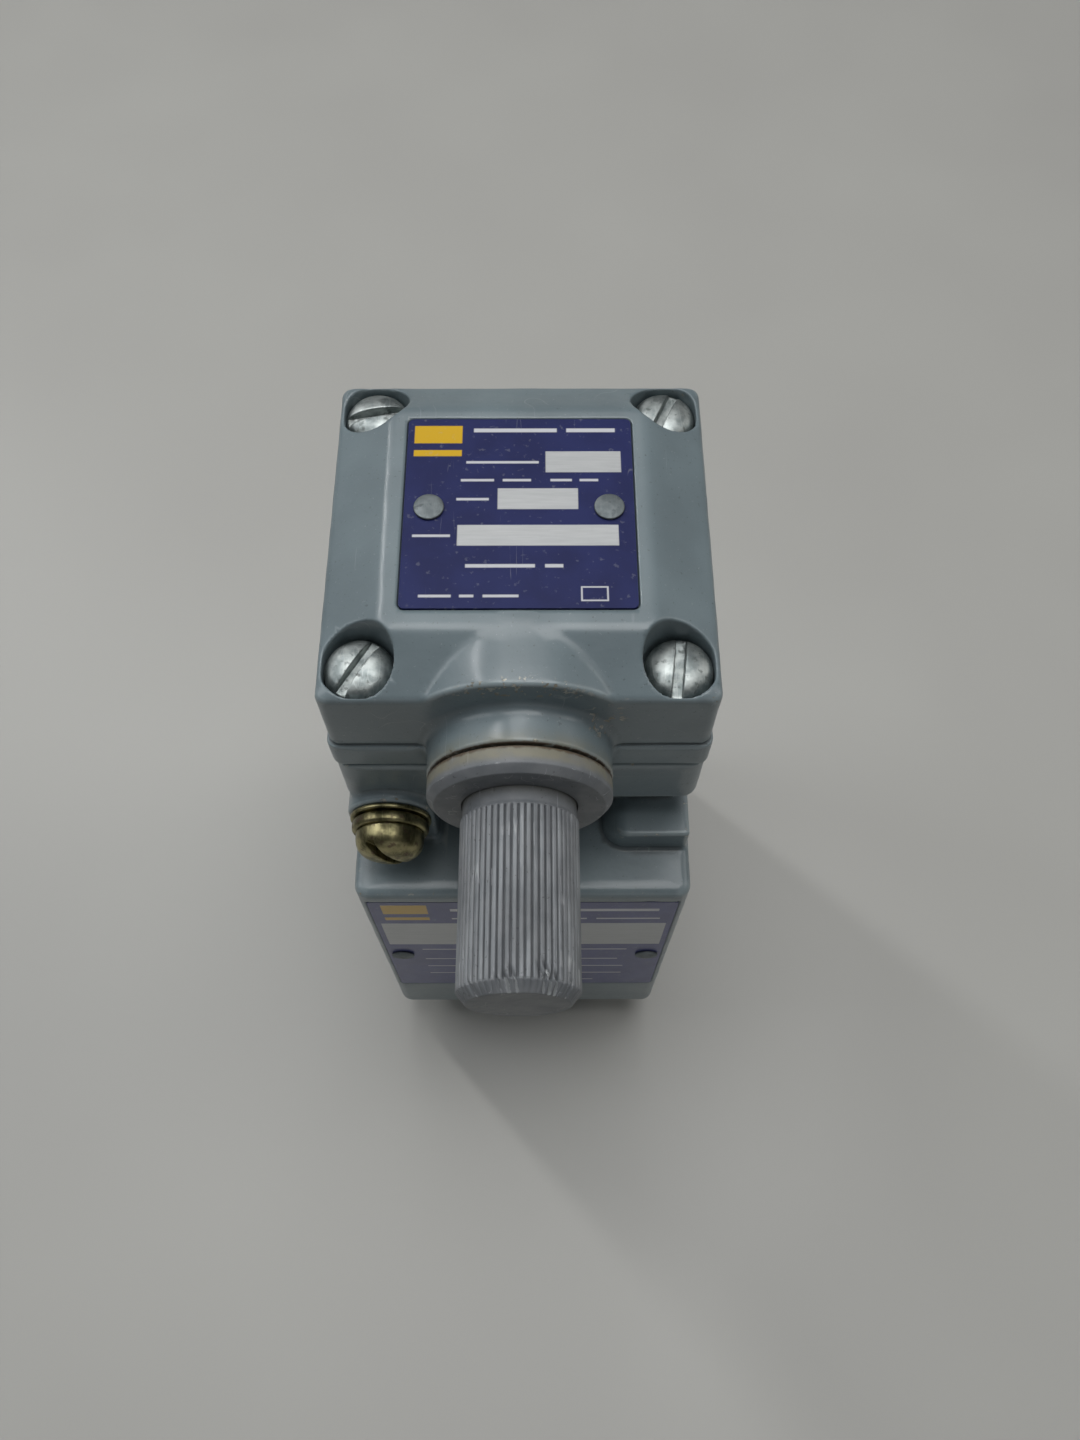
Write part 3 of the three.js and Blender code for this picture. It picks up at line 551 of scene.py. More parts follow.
def plated_metal(name, dark, light, tarnish, roughness):
    """Plated steel: tinted, with fine scratches, small pits and a dull film in places."""
    s = Surface(name, metallic=1.0)
    base = s.mix(s.ramp(s.noise(1.5, 4), 0.3, 0.7), dark, light)
    film = s.ramp(s.noise(0.8, 5), 0.56, 0.68)
    base = s.mix(s.times(film, 0.6), base, tarnish)
    lines = s.math("MAXIMUM", s.scratches(1.1, 0.5, 0.02), s.scratches(1.4, 1.9, 0.02))
    base = s.mix(s.times(lines, 0.35), base, light)
    s.set("Base Color", base)
    s.set("Metallic", s.blend(film, 1.0, 0.75))
    s.set("Roughness", s.blend(s.math("MAXIMUM", film, s.noise(0.6, 3)), roughness, roughness + 0.25))
    ground = s.bump(lines, 0.006)
    s.set("Normal", s.bump(s.noise(0.35, 4), 0.016, ground))
    return s.material


def plain_material(name, dark, light, roughness, metallic=0.0, grain=0.4, depth=0.01):
    """A hidden or small piece's own surface: uneven colour, uneven gloss and a fine grain."""
    s = Surface(name, metallic=metallic)
    s.set("Base Color", s.mix(s.ramp(s.noise(2.0, 4), 0.3, 0.7), dark, light))
    s.set("Roughness", s.blend(s.noise(1.0, 3), roughness, min(1.0, roughness + 0.2)))
    s.set("Normal", s.bump(s.noise(grain, 3), depth))
    return s.material


def panel_mask(s, across, up, place):
    """1 inside the rectangle (left, right, bottom, top), in millimetres, with a sharp printed edge."""
    left, right, bottom, top = [v * MM for v in place]
    soft = 0.05 * MM
    sides = s.math("ABSOLUTE", s.math("SUBTRACT", across, (left + right) / 2))
    ends = s.math("ABSOLUTE", s.math("SUBTRACT", up, (bottom + top) / 2))
    inside_x = s.ramp(s.math("SUBTRACT", sides, (right - left) / 2), soft, -soft)
    inside_y = s.ramp(s.math("SUBTRACT", ends, (top - bottom) / 2), soft, -soft)
    return s.times(inside_x, inside_y)


def union_of(s, masks):
    total = masks[0]
    for mask in masks[1:]:
        total = s.math("MAXIMUM", total, mask)
    return total


def nameplate(name, up_axis, bare, white, yellow, enamel, painted_sheen, gloss):
    """Blue enamel print on an aluminium plate. bare, white and yellow are lists of rectangles.

    enamel is its two shades, the number after it a pale painted reflection laid evenly over the whole
    plate, and gloss the weight of its clear coat.
    """
    s = Surface(name, coat=gloss, coat_roughness=0.2)
    s.shader.inputs["Specular IOR Level"].default_value = 0.15
    across, up = s.axis("X"), s.axis(up_axis)
    metal = union_of(s, [panel_mask(s, across, up, r) for r in bare])
    rub = s.ramp(s.noise(0.5, 5), 0.72, 0.78)
    lines = s.times(s.scratches(3.0, 0.9, 0.0025), s.ramp(s.noise(5.0, 2), 0.56, 0.64))
    metal = s.math("MAXIMUM", metal, s.times(s.math("MAXIMUM", rub, lines), 0.25))
    base = s.mix(s.ramp(s.noise(4.0, 3), 0.3, 0.7), *enamel)
    ink = union_of(s, [panel_mask(s, across, up, r) for r in white])
    base = s.mix(s.times(ink, 0.85), base, "d9dadd")
    ink = union_of(s, [panel_mask(s, across, up, r) for r in yellow])
    base = s.mix(ink, base, "d2a81e")
    brushed = s.noise(0.25, 2, stretch=(14, 1, 1))
    base = s.mix(metal, base, s.mix(brushed, "a9abac", "c2c4c4"))
    # Dust specks and an even painted sheen lighten the plate towards a8a9ab; the sheen is a painted
    # reflection.
    dust = s.ramp(s.noise(0.6, 6), 0.62, 0.72)
    dust_and_sheen = s.math("ADD", s.times(dust, 0.16), painted_sheen)
    base = s.mix(dust_and_sheen, base, "a8a9ab")
    s.set("Base Color", base)
    s.set("Metallic", s.times(metal, 0.35))
    s.set("Roughness", s.blend(s.noise(1.5, 3), 0.34, 0.46))
    ink_edge = s.bump(s.math("SUBTRACT", 1.0, metal), 0.02)
    s.set("Normal", s.bump(s.noise(1.1, 3), 0.01, ink_edge))
    return s.material


PAINT = casting_paint()
SHAFT = shaft_coat()
ZINC = plated_metal("bright_zinc", "828a8a", "bfc5c3", "565c5a", 0.36)
YELLOW = plated_metal("yellow_chromate", "5b583f", "aaa27a", "58403a", 0.26)
RIVET = plated_metal("dull_aluminium", "6f7678", "868d8f", "5f6567", 0.5)


# ---- castings

def screw_places():
    reach = SCREW_SPACING / 2
    corners = ((-1, -1), (1, -1), (-1, 1), (1, 1))
    return [(sx * reach, HEAD_CENTRE_Y + sy * reach) for sx, sy in corners]


def head_stain(points):
    """Beige film on the boss, turning to rust in the gap that the collar runs in."""
    around = np.hypot(points[:, 0], points[:, 2] - AXIS_Z)
    on_boss = np.exp(-((around - BOSS_R) / 1.3) ** 2) * (points[:, 1] < FRONT - 0.6)
    depth = points[:, 1] - BOSS_FRONT
    film = 0.34 * np.exp(-(depth / 1.6) ** 2)
    rust = 0.62 * np.exp(-(depth / 0.22) ** 2)
    return np.clip(on_boss * (film + rust), 0, 1)


def head_specks(points):
    """Where paint is knocked off: right of the boss, on the barrel's front edge and at the back."""
    beside = np.exp(-((points[:, 0] - 8.5) / 2.6) ** 2 - ((points[:, 2] - AXIS_Z - 6.5) / 3.5) ** 2)
    front = np.exp(-((points[:, 1] - FRONT) / 1.5) ** 2)
    lip = np.exp(-(points[:, 0] / 8) ** 2) * (points[:, 2] > EDGE_Z + 0.8)
    rear = 0.35 * np.exp(-((points[:, 1] - HEAD_BACK + 4) / 2.5) ** 2)
    return np.clip(front * (beside + lip * 0.9) + rear, 0, 1)


def plate_recess(f, low, high, axis):
    """The pocket that a nameplate sits in, open towards the outside of the casting."""
    spare = 0.12
    ends = [(low[i] - spare, high[i] + spare) for i in range(3)]
    under = 0.05
    if axis == Z:
        ends[Z] = (low[Z] - under, high[Z] + BEYOND)
    else:
        ends[Y] = (low[Y] - BEYOND, high[Y] + under)
    return block(f, *ends, 0.7, axis=axis)


def rivet_hole(f, node, axis):
    low, high = box_mm(node)
    others = [i for i in range(3) if i != axis]
    centre = [(low[i] + high[i]) / 2 for i in others]
    return rod(f, axis, centre, RIVET_HOLE_R, (low[axis] - 0.1, high[axis] + 0.1))


def head_outside(f):
    """Square skirt and sides, a hipped top with a flat plateau, and the barrel over the shaft."""
    skirt = block(f, (-HALF, HALF), (FRONT, HEAD_BACK), (HEAD_BOTTOM, STEP_Z), 1.2, 0.16)
    inset = HALF - STEP_IN
    deep = (FRONT + STEP_IN, HEAD_BACK - STEP_IN)
    sides = block(f, (-inset, inset), deep, (STEP_Z - 1, PLATEAU_Z + BEYOND), 1.2)
    run = inset - PLATEAU_HALF
    rise = PLATEAU_Z - EDGE_Z
    length = math.hypot(run, rise)
    out_x = np.abs(f.x) - inset
    out_y = np.abs(f.y - HEAD_CENTRE_Y) - inset
    slope_x = (out_x * rise + (f.z - EDGE_Z) * run) / length
    slope_y = (out_y * rise + (f.z - EDGE_Z) * run) / length
    under_plateau = f.z - PLATEAU_Z + 0 * f.x
    roof = common(common(slope_x, slope_y, 0.7), under_plateau, 0.3)
    barrel = rod(f, Y, SHAFT_AXIS, BARREL_R, (FRONT - BEYOND, FRONT + 11), 1.0)
    barrel = common(barrel, under_plateau, 0.5)
    shape = common(sides, join(roof, barrel, 0.35), 0.55)
    shape = join(shape, skirt)
    groove = np.maximum(np.abs(f.z - STEP_Z - GROOVE_RISE) - GROOVE_HALF, -(sides + GROOVE_DEPTH))
    return cut(shape, groove, 0.08)


def head_housing():
    f = Field((-HALF - 1, BOSS_FRONT - 1, 77.5), (HALF + 1, HEAD_BACK + 1, PLATEAU_Z + 1), step=0.22)
    shape = head_outside(f)
    boss = rod(f, Y, SHAFT_AXIS, BOSS_R, (BOSS_FRONT, BOSS_BACK), 0.35)
    link = rod(f, Y, SHAFT_AXIS, BOSS_R, (FRONT - 2, FRONT + 2))
    link = common(link, HEAD_BOTTOM - f.z + 0 * f.x)
    shape = join(shape, np.minimum(boss, link), 1.2)
    below = np.maximum(f.z - HEAD_BOTTOM, BOSS_BACK - f.y) + 0 * f.x
    shape = cut(shape, below, 0.2)
    shape = join(shape, rod(f, Y, SHAFT_AXIS, BEARING_R, (FRONT - 1, BEARING_BACK)))
    shape = shape + waviness(f)
    outside = shape

    shape = cut(shape, block(f, *HEAD_ROOM, 1.0, 1.0), 0.3)
    shape = cut(shape, rod(f, Y, SHAFT_AXIS, BORE_R, (BOSS_FRONT - 2, FRONT + 10.8)), 0.3)
    shape = cut(shape, rod(f, Y, SHAFT_AXIS, REAR_BORE_R, (FRONT + 32, FRONT + 37.3)))
    shape = cut(shape, plate_recess(f, head_plate_low, head_plate_high, Z), 0.15)
    for side in SIDES:
        shape = cut(shape, rivet_hole(f, f"head_plate_rivet_{side}", Z))
    reach = HALF - STEP_IN - THIN_WALL
    kept_clear = np.maximum(np.abs(f.x) - reach, np.abs(f.y - HEAD_CENTRE_Y) - reach)
    for place in screw_places():
        counterbore = rod(f, Z, place, COUNTERBORE_R, (SCREW_SEAT_Z, PLATEAU_Z + BEYOND), 0.2)
        shape = cut(shape, common(counterbore, kept_clear, 0.3), 0.18)
        shape = cut(shape, rod(f, Z, place, SCREW_HOLE_R, (HEAD_BOTTOM - 1, SCREW_SEAT_Z + 1)))
    field_piece("head_casting", f, shape, PAINT, "head_housing",
                head_stain, head_specks, wear_and_shade_shape=outside)


def pad_shape(f):
    """The raised pad at the right end of the ledge, with a steep shoulder on its inner side."""
    deep = (PAD_FRONT, UPPER_FRONT + 2)
    pad = block(f, (PAD_LEFT, HALF + BEYOND), deep, (SHOULDER_Z - 6, PAD_Z), 3.0, 0.35)
    pad = common(pad, f.x - PAD_RIGHT + 0 * (f.y + f.z), 0.5)
    slope = (PAD_SHOULDER_X - f.x) * PAD_SHOULDER_RISE + (f.z - PAD_Z) * PAD_SHOULDER_RUN
    shoulder = slope / math.hypot(PAD_SHOULDER_RISE, PAD_SHOULDER_RUN)
    return common(pad, shoulder + 0 * f.y, 0.9)


def body_outside(f):
    """The box with its notch, the column and neck above it, the pad, and the ear for the screw."""
    width = (-HALF, HALF)
    deep = (UPPER_FRONT, BODY_REAR)
    high = (SHOULDER_Z - 4, NECK_BOTTOM + 3)
    front = block(f, width, (BODY_FRONT, BODY_STEP[0]), (BODY_BOTTOM, SHOULDER_Z), 1.8, 1.2)
    rear = block(f, width, deep, (BODY_STEP[1], SHOULDER_Z), 0.6, 0.5)
    column = block(f, (-HALF + COLUMN_IN, HALF - COLUMN_IN), deep, high, 0.8)
    ear_rear = block(f, (-HALF, EAR[0] + EAR_R), deep, high, 0.8)
    neck = block(f, width, (FRONT, HEAD_BACK), (NECK_BOTTOM, NECK_TOP), 2.0, 0.45)
    ear_width = (EAR[0] - EAR_R, EAR[0] + EAR_R)
    ear_deep = (EAR_FRONT, UPPER_FRONT + 2)
    ear = rod(f, Y, EAR, EAR_R, ear_deep, 0.5)
    ear_foot = block(f, ear_width, ear_deep, (SHOULDER_Z - 3, EAR[1]), 0.5, 0.5, axis=Y)
    lower = np.minimum(front, rear)
    upper = join(np.minimum(column, ear_rear), neck, 1.0)
    shape = join(lower, upper, 0.9)
    shape = join(shape, pad_shape(f), 0.5)
    shape = join(shape, np.minimum(ear, ear_foot), 1.0)
    limits = block(f, width, (BODY_FRONT, HEAD_BACK), (BODY_BOTTOM, NECK_TOP), 1.2, 0.3)
    return common(shape, limits) + waviness(f)


def switch_body():
    low = (-HALF - 1, BODY_FRONT - 1, BODY_BOTTOM - 1)
    f = Field(low, (HALF + 1, HEAD_BACK + 1, NECK_TOP + 1), step=0.26)
    outside = body_outside(f)
    shape = cut(outside, block(f, *BODY_ROOM_FRONT, 0.8, 0.8))
    shape = cut(shape, block(f, *BODY_ROOM_REAR, 0.8))
    shape = cut(shape, rod(f, Z, PLUNGER_AXIS, PASSAGE_R, (66, NECK_TOP)))
    shape = cut(shape, rod(f, Z, PLUNGER_AXIS, GUIDE_R, (61, 67)))
    shape = cut(shape, block(f, *NECK_ROOM, 0.8))
    shape = cut(shape, rod(f, Y, SHAFT_AXIS, BEARING_R + 0.3, (FRONT - 4, FRONT + 9.8)), 0.3)
    shape = cut(shape, cut(block(f, *GASKET_OUTER), block(f, *GASKET_INNER)))
    shape = cut(shape, rod(f, Y, EAR, EAR_HOLE_R, (EAR_FRONT - 1, BODY_REAR + 1)))
    shape = cut(shape, plate_recess(f, body_plate_low, body_plate_high, Y), 0.2)
    shape = cut(shape, block(f, *LIP_SLOT))
    for side in SIDES:
        shape = cut(shape, rivet_hole(f, f"body_plate_rivet_{side}", Y))
    for place in screw_places():
        shape = cut(shape, rod(f, Z, place, SCREW_THREAD_R, (SCREW_HOLE_END, NECK_TOP + 1)))
    field_piece("body_casting", f, shape, PAINT, "switch_body", wear_and_shade_shape=outside)


def receptacle():
    top = base_high[2]
    width = (-HALF, HALF)
    f = Field((-HALF - 1, FRONT - 6, -1), (HALF + 1, BACK + 1, top + 1), step=0.32)
    shell = block(f, width, (RECEPTACLE_FRONT, BACK), (0, top), 1.8, 0.6, axis=Y)
    hub = block(f, *HUB, 0.5, 0.4)
    foot = block(f, *FOOT, 2.5, 0.5)
    lip = block(f, *LIP, 0.3, 0.3)
    shape = join(join(shell, np.minimum(hub, foot), 0.7), lip, 0.4)
    limits = block(f, width, (FRONT - 5, BACK), (0, top), 1.2, 0.3)
    outside = common(shape, limits) + waviness(f)

    shape = cut(outside, block(f, *CHAMBER, 1.0, 1.0, axis=Y))
    shape = cut(shape, block(f, *WIRE_WAY, 0.8, 0.8, axis=Y))
    shape = cut(shape, rod(f, Z, CONDUIT, CONDUIT_R, (-2, CONDUIT_TOP)), 0.5)
    captive_hole = (RECEPTACLE_FRONT - 1, RECEPTACLE_FRONT + 8)
    shape = cut(shape, rod(f, Y, EAR, CAPTIVE_THREAD_R, captive_hole))
    ground_hole = (CHAMBER_BACK - 1, CHAMBER_BACK + 2.05)
    shape = cut(shape, rod(f, Y, GROUND_PLACE, GROUND_HOLE_R, ground_hole))
    for x in (-MOUNT_X, MOUNT_X):
        through, blind = (CHAMBER_BACK - 1, BACK + 2), (BACK - 12, BACK + 2)
        shape = cut(shape, rod(f, Y, (x, MOUNT_HIGH_Z), MOUNT_HIGH_R, through), 0.4)
        shape = cut(shape, rod(f, Y, (x, MOUNT_LOW_Z), MOUNT_LOW_R, blind), 0.4)
    field_piece("receptacle_casting", f, shape, PAINT, "receptacle", wear_and_shade_shape=outside)


# ---- shaft and collar

KNURL_TEETH = 56
KNURL_R = 6.0
KNURL_BACK = FRONT - 8.4
KNURL_DEPTH = 0.4
TIP = shaft_low[1]
TIP_FACE_R = 4.95
ROOT_R = 5.8
JOURNAL_R = 4.5
CAM_SEAT_R = 3.9
CAM_SEAT_BACK = FRONT + 13.4
REAR_JOURNAL_R = 3.0
COLLAR_BORE_R = 5.9
COLLAR_FACE_R = 8.75
COLLAR_R = 9.5
COLLAR_CHAMFER = 0.8
# Dents on the edge of the tip: angle, half width, length along the shaft and depth.
NICKS = [
    (1.72, 0.05, 0.9, 0.45), (1.57, 0.035, 1.3, 0.4), (1.86, 0.03, 0.7, 0.35), (0.98, 0.035, 1.8, 0.55),
    (1.1, 0.03, 1.5, 0.45), (0.86, 0.035, 1.2, 0.5), (2.4, 0.04, 0.6, 0.35), (0.55, 0.035, 0.7, 0.3)]
NICK_BACK = 0.7      # the dents are deepest at the front of the ridges, this far behind the tip


def nick_depth(radius, along, turn):
    """How deep each point lies in the dents, which slant across the ridges."""
    depth = 0 * (turn + along)
    back = np.maximum(along - TIP - NICK_BACK, 0)
    front = np.clip((along - TIP) / NICK_BACK, 0.35, 1)
    for angle, width, length, deep in NICKS:
        slant = back * 0.09
        here = np.exp(-((turn - angle - slant) / width) ** 2 - (back / length) ** 2)
        depth = np.maximum(depth, here * deep * front)
    return depth * np.clip((radius - TIP_FACE_R) / 0.5, 0, 1)


def knurled(radius, along, turn):
    """Straight ridges between the tip's chamfer and the plain root, battered at the tip."""
    off_tip = np.clip((radius - TIP_FACE_R - 0.3) / 0.4, 0, 1)
    on_knurl = np.clip((KNURL_BACK - along) / 0.25, 0, 1) * off_tip
    phase = turn * KNURL_TEETH / (2 * math.pi) % 1
    ridge = np.clip((1 - np.abs(2 * phase - 1)) * 2.1, 0, 1)
    chamfer = np.clip((along - TIP - 0.5) / 0.9, 0, 1)
    uneven = 1 + 0.12 * np.sin(turn * 7) + 0.08 * np.sin(turn * 19 + along * 0.9)
    grooves = KNURL_DEPTH * uneven * (1 - ridge) * chamfer
    return radius - on_knurl * grooves - nick_depth(radius, along, turn), along


def points_of(piece):
    return np.array([v.co for v in piece.data.vertices]) / MM


def shaft_masks(shaft):
    points = points_of(shaft)
    radius = np.hypot(points[:, 0], points[:, 2] - AXIS_Z)
    turn = np.arctan2(points[:, 2] - AXIS_Z, points[:, 0]) % (2 * math.pi)
    along = points[:, 1]
    on_knurl = (along > TIP + 1.3) & (along < KNURL_BACK - 0.1)
    # depth in the knurl's grooves, used for painted shade
    add_mask(shaft.data, "valley_shade", np.clip((KNURL_R - radius) / KNURL_DEPTH, 0, 1) * on_knurl)
    # the ridge tops, used for a painted highlight
    add_mask(shaft.data, "crest_highlight", np.clip(1 - (KNURL_R - radius) / 0.06, 0, 1) * on_knurl)
    depth = nick_depth(np.full_like(radius, KNURL_R), along, turn)
    dent = np.clip(depth * 1.9, 0, 1) * (radius > TIP_FACE_R)
    rim = np.exp(-((along - TIP - 0.1) / 0.22) ** 2) * (radius > TIP_FACE_R - 0.1)
    add_mask(shaft.data, "wear", np.clip(dent + rim * 0.35, 0, 1))


def spin_stain(points):
    """Rust where the collar runs against the boss."""
    return np.exp(-((points[:, 1] - collar_high[1]) / 0.2) ** 2)


def collar_stain(points):
    """Beige film on the collar's rim, rust at its back edge."""
    around = np.hypot(points[:, 0], points[:, 2] - AXIS_Z)
    rim = np.clip((points[:, 1] - collar_low[1] - 0.9) / 0.7, 0, 1) * (around > 9)
    return np.clip(rim * 0.4 + spin_stain(points) * 0.7, 0, 1)


def operating_shaft():
    rows = np.linspace(TIP + 1.35, KNURL_BACK - 0.3, 48)
    face = [(r, TIP) for r in np.linspace(0, TIP_FACE_R - 0.2, 7)]
    nose = soften([
        (TIP_FACE_R - 0.2, TIP), (TIP_FACE_R + 0.1, TIP),
        (KNURL_R, TIP + 1.1), (KNURL_R, TIP + 1.3)], 0.25, 6)
    flank = [(KNURL_R, y) for y in rows]
    root = soften([
        (KNURL_R, KNURL_BACK - 0.25), (KNURL_R, KNURL_BACK),
        (ROOT_R, KNURL_BACK + 0.3), (ROOT_R, collar_high[1]),
        (JOURNAL_R, collar_high[1]), (JOURNAL_R, BEARING_BACK),
        (CAM_SEAT_R, BEARING_BACK), (CAM_SEAT_R, CAM_SEAT_BACK),
        (REAR_JOURNAL_R, CAM_SEAT_BACK), (REAR_JOURNAL_R, shaft_high[1]), (0, shaft_high[1])], 0.15)
    profile = np.vstack([face, nose[1:], flank, root])
    shaft = turned_piece(
        "knurled_shaft", profile, SHAFT_AXIS, KNURL_TEETH * 8, "shaft", SHAFT,
        "operating_shaft", shape=knurled, stain=spin_stain)
    shaft_masks(shaft)

    front, back = collar_low[1], collar_high[1]
    ring = [
        (COLLAR_BORE_R, front + 0.3), (COLLAR_BORE_R, front), (COLLAR_FACE_R, front),
        (COLLAR_R, front + COLLAR_CHAMFER), (COLLAR_R, back),
        (COLLAR_BORE_R, back), (COLLAR_BORE_R, front + 0.3)]
    collar = turned_piece(
        "shaft_collar_ring", soften(ring, 0.13), SHAFT_AXIS, 192, "shaft", SHAFT,
        "shaft_collar", stain=collar_stain)
    edge = np.exp(-(((points_of(collar)[:, 1] - front - COLLAR_CHAMFER) / 0.16) ** 2))
    add_mask(collar.data, "wear", edge * 0.45)


# ---- screws, washers and rivets

SHANK_R = 1.75
WASHER_BORE_R = 1.95
RIVET_STEM_R = 0.7
RIVET_HOLE_R = 0.8
RIVET_THICK = 0.45
RIVET_CROWN = 6.5    # radius of the rivet head's slight dome


def screw_field(centre, radius, ends, margin, step, along):
    """A grid round a screw whose axis runs along axis number along."""
    low, high = np.zeros(3), np.zeros(3)
    others = [i for i in range(3) if i != along]
    for i, c in zip(others, centre):
        low[i], high[i] = c - radius - margin, c + radius + margin
    low[along], high[along] = ends[0] - margin, ends[1] + margin
    return Field(low, high, step)


def slotted_head(f, axis, centre, radius, seat, top, shank_end, slot):
    """A domed cheese head on a shank, from its underside at seat to its crown at top.

    slot is the slot's turn, width and depth.
    """
    slot_turn, slot_width, slot_depth = slot
    up = 1 if top > seat else -1
    height = abs(top - seat)
    across = [v for i, v in enumerate(f.axes) if i != axis]
    u, v = across[0] - centre[0], across[1] - centre[1]
    out = np.hypot(u, v)
    level = (f.axes[axis] - seat) * up
    crown = 1.45 * radius
    drop = crown - math.sqrt(crown * crown - radius * radius)
    dome = np.sqrt(out * out + (level - (height - crown)) ** 2) - crown
    head = rounded(out - radius, np.maximum(-level, level - height), 0.12)
    head = common(head, dome, min(0.9, drop))
    ends = sorted((shank_end, seat + 0.5 * up))
    shank = rod(f, axis, centre, SHANK_R, ends, 0.2)
    shape = join(head, shank, 0.1)
    side = u * -math.sin(slot_turn) + v * math.cos(slot_turn)
    gap = np.maximum(np.abs(side) - slot_width / 2, (height - slot_depth) - level)
    return cut(shape, gap, 0.14)


def head_screws():
    turns = (1.05, 1.45, 0.2, 1.15)
    for number, (place, turn) in enumerate(zip(screw_places(), turns), 1):
        node = f"head_screw_{number}"
        low, high = box_mm(node)
        radius = (high[0] - low[0]) / 2
        f = screw_field(place, radius, (low[Z], high[Z]), 0.5, 0.1, Z)
        seat = SCREW_SEAT_Z + 0.05
        shape = slotted_head(f, Z, place, radius, seat, high[Z], low[Z], (turn, 1.05, 1.5))
        field_piece(f"head_screw_dome_{number}", f, shape, ZINC, node)


def captive_screw():
    low, high = box_mm("captive_screw")
    radius = (high[0] - low[0]) / 2
    f = screw_field(EAR, radius, (low[Y], high[Y]), 0.5, 0.12, Y)
    seat = low[Y] + 3.4
    shape = slotted_head(f, Y, EAR, radius, seat, low[Y], high[Y], (-1.0, 1.1, 1.6))
    field_piece("captive_screw_head", f, shape, YELLOW, "captive_screw")


def washer(name, node, round_r, shape=None):
    low, high = box_mm(node)
    inner, outer = WASHER_BORE_R, (high[0] - low[0]) / 2
    centre = ((low[0] + high[0]) / 2, (low[2] + high[2]) / 2)
    middle = (inner + outer) / 2
    ring = [(middle, low[1]), (outer, low[1]), (outer, high[1]),
            (inner, high[1]), (inner, low[1]), (middle, low[1])]
    profile = soften(ring, round_r)
    turned_piece(name, profile, centre, 128, "base", YELLOW, node, shape=shape)


def split_ring(radius, along, turn):
    """The slight helix of a spring washer."""
    lift = ((turn / (2 * math.pi)) % 1 - 0.5) * 0.24
    middle = (lock_low[1] + lock_high[1]) / 2
    return radius, np.clip(along + lift * (1 - np.abs(along - middle) * 0.4), lock_low[1], lock_high[1])


def rivet(node, axis):
    """A flattened rivet head on its stem."""
    low, high = box_mm(node)
    centre = (low + high) / 2
    others = [i for i in range(3) if i != axis]
    place = (centre[others[0]], centre[others[1]])
    radius = (high[0] - low[0]) / 2
    f = screw_field(place, radius, (low[axis], high[axis]), 0.3, 0.05, axis)
    u, v = (f.axes[i] - c for i, c in zip(others, place))
    out = np.hypot(u, v)
    outer_end, inner_end = (high[Z], low[Z]) if axis == Z else (low[Y], high[Y])
    up = 1 if outer_end > inner_end else -1
    level = (f.axes[axis] - outer_end) * up
    dome = np.sqrt(out * out + (level + RIVET_CROWN) ** 2) - RIVET_CROWN
    head = rounded(out - radius, np.maximum(level, -RIVET_THICK - level), 0.1)
    head = common(head, dome, 0.1)
    stem = rod(f, axis, place, RIVET_STEM_R, sorted((inner_end, outer_end - 0.3 * up)), 0.1)
    field_piece(node + "_head", f, join(head, stem), RIVET, node)


# ---- plates and inner pieces

def keep_node(node, material, bevel):
    """Gives a CAD node its material, and takes the knife edge off it."""
    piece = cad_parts[node]
    piece.data.materials.clear()
    piece.data.materials.append(material)
    modifier = piece.modifiers.new("soft_edges", "BEVEL")
    modifier.width = bevel * MM
    modifier.segments = 2
    modifier.limit_method = "ANGLE"
    modifier.angle_limit = math.radians(40)


def dashes(spans, level, height):
    """Printed strokes in one row, each (left, right)."""
    return [(left, right, level - height / 2, level + height / 2) for left, right in spans]


def outline(left, right, bottom, top, line):
    return [(left, right, bottom, bottom + line), (left, right, top - line, top),
            (left, left + line, bottom, top), (right - line, right, bottom, top)]


def head_print():
    y = HEAD_CENTRE_Y
    bare = [
        (2.7, 10.5, y + 5.1, y + 7.8),
        (-2.2, 6.0, y + 0.45, y + 3.05),
        (-6.2, 10.0, y - 4.0, y - 1.5)]
    white = (
        dashes([(-4.8, 3.9), (4.9, 10.0)], y + 10.6, 0.5)
        + dashes([(-5.5, 2.0)], y + 6.4, 0.3)
        + dashes([(-6.0, -2.6), (-1.7, 1.2), (3.2, 5.4), (6.2, 8.1)], y + 4.1, 0.3)
        + dashes([(-6.4, -3.1)], y + 1.7, 0.3)
        + dashes([(-10.7, -6.9)], y - 2.8, 0.3)
        + dashes([(-5.3, 1.6), (2.6, 4.4)], y - 6.4, 0.4)
        + dashes([(-9.8, -6.6), (-5.8, -4.4), (-3.5, 0.0)], y - 9.9, 0.3)
        + outline(6.1, 8.8, y - 10.5, y - 8.8, 0.16))
    yellow = [(-11.0, -6.0, y + 8.9, y + 11.2), (-11.0, -6.0, y + 7.2, y + 8.0)]
    # 0.02 is the plate's painted sheen, a pale painted reflection over all of it
    return nameplate("head_plate_print", "Y", bare, white, yellow, ("181f50", "1e265a"), 0.02, 0.0)


def body_print():
    bare = [(-18.2, 18.2, 43.6, 53.5)]
    white = (
        dashes([(-9.0, 3.5), (4.8, 16.8)], 59.2, 1.0)
        + dashes([(-9.0, -2.0), (-1.0, 8.0), (9.2, 17.2)], 55.6, 0.5)
        + dashes([(-14.0, -2.0), (3.0, 14.0)], 41.0, 0.35)
        + dashes([(-14.0, 13.0)], 36.0, 0.35)
        + dashes([(-14.0, -6.0), (2.0, 14.0)], 32.0, 0.35)
        + dashes([(-14.0, 14.0)], 28.0, 0.35)
        + dashes([(-10.0, 10.0)], 24.0, 0.35))
    yellow = [(-17.4, -11.8, 57.6, 61.2), (-17.4, -11.8, 55.0, 56.2)]
    # 0.08 is the plate's painted sheen, a pale painted reflection over all of it
    return nameplate("body_plate_print", "Z", bare, white, yellow, ("353b74", "3d4480"), 0.08, 0.6)


def plates():
    keep_node("head_nameplate", head_print(), 0.06)
    keep_node("body_nameplate", body_print(), 0.06)


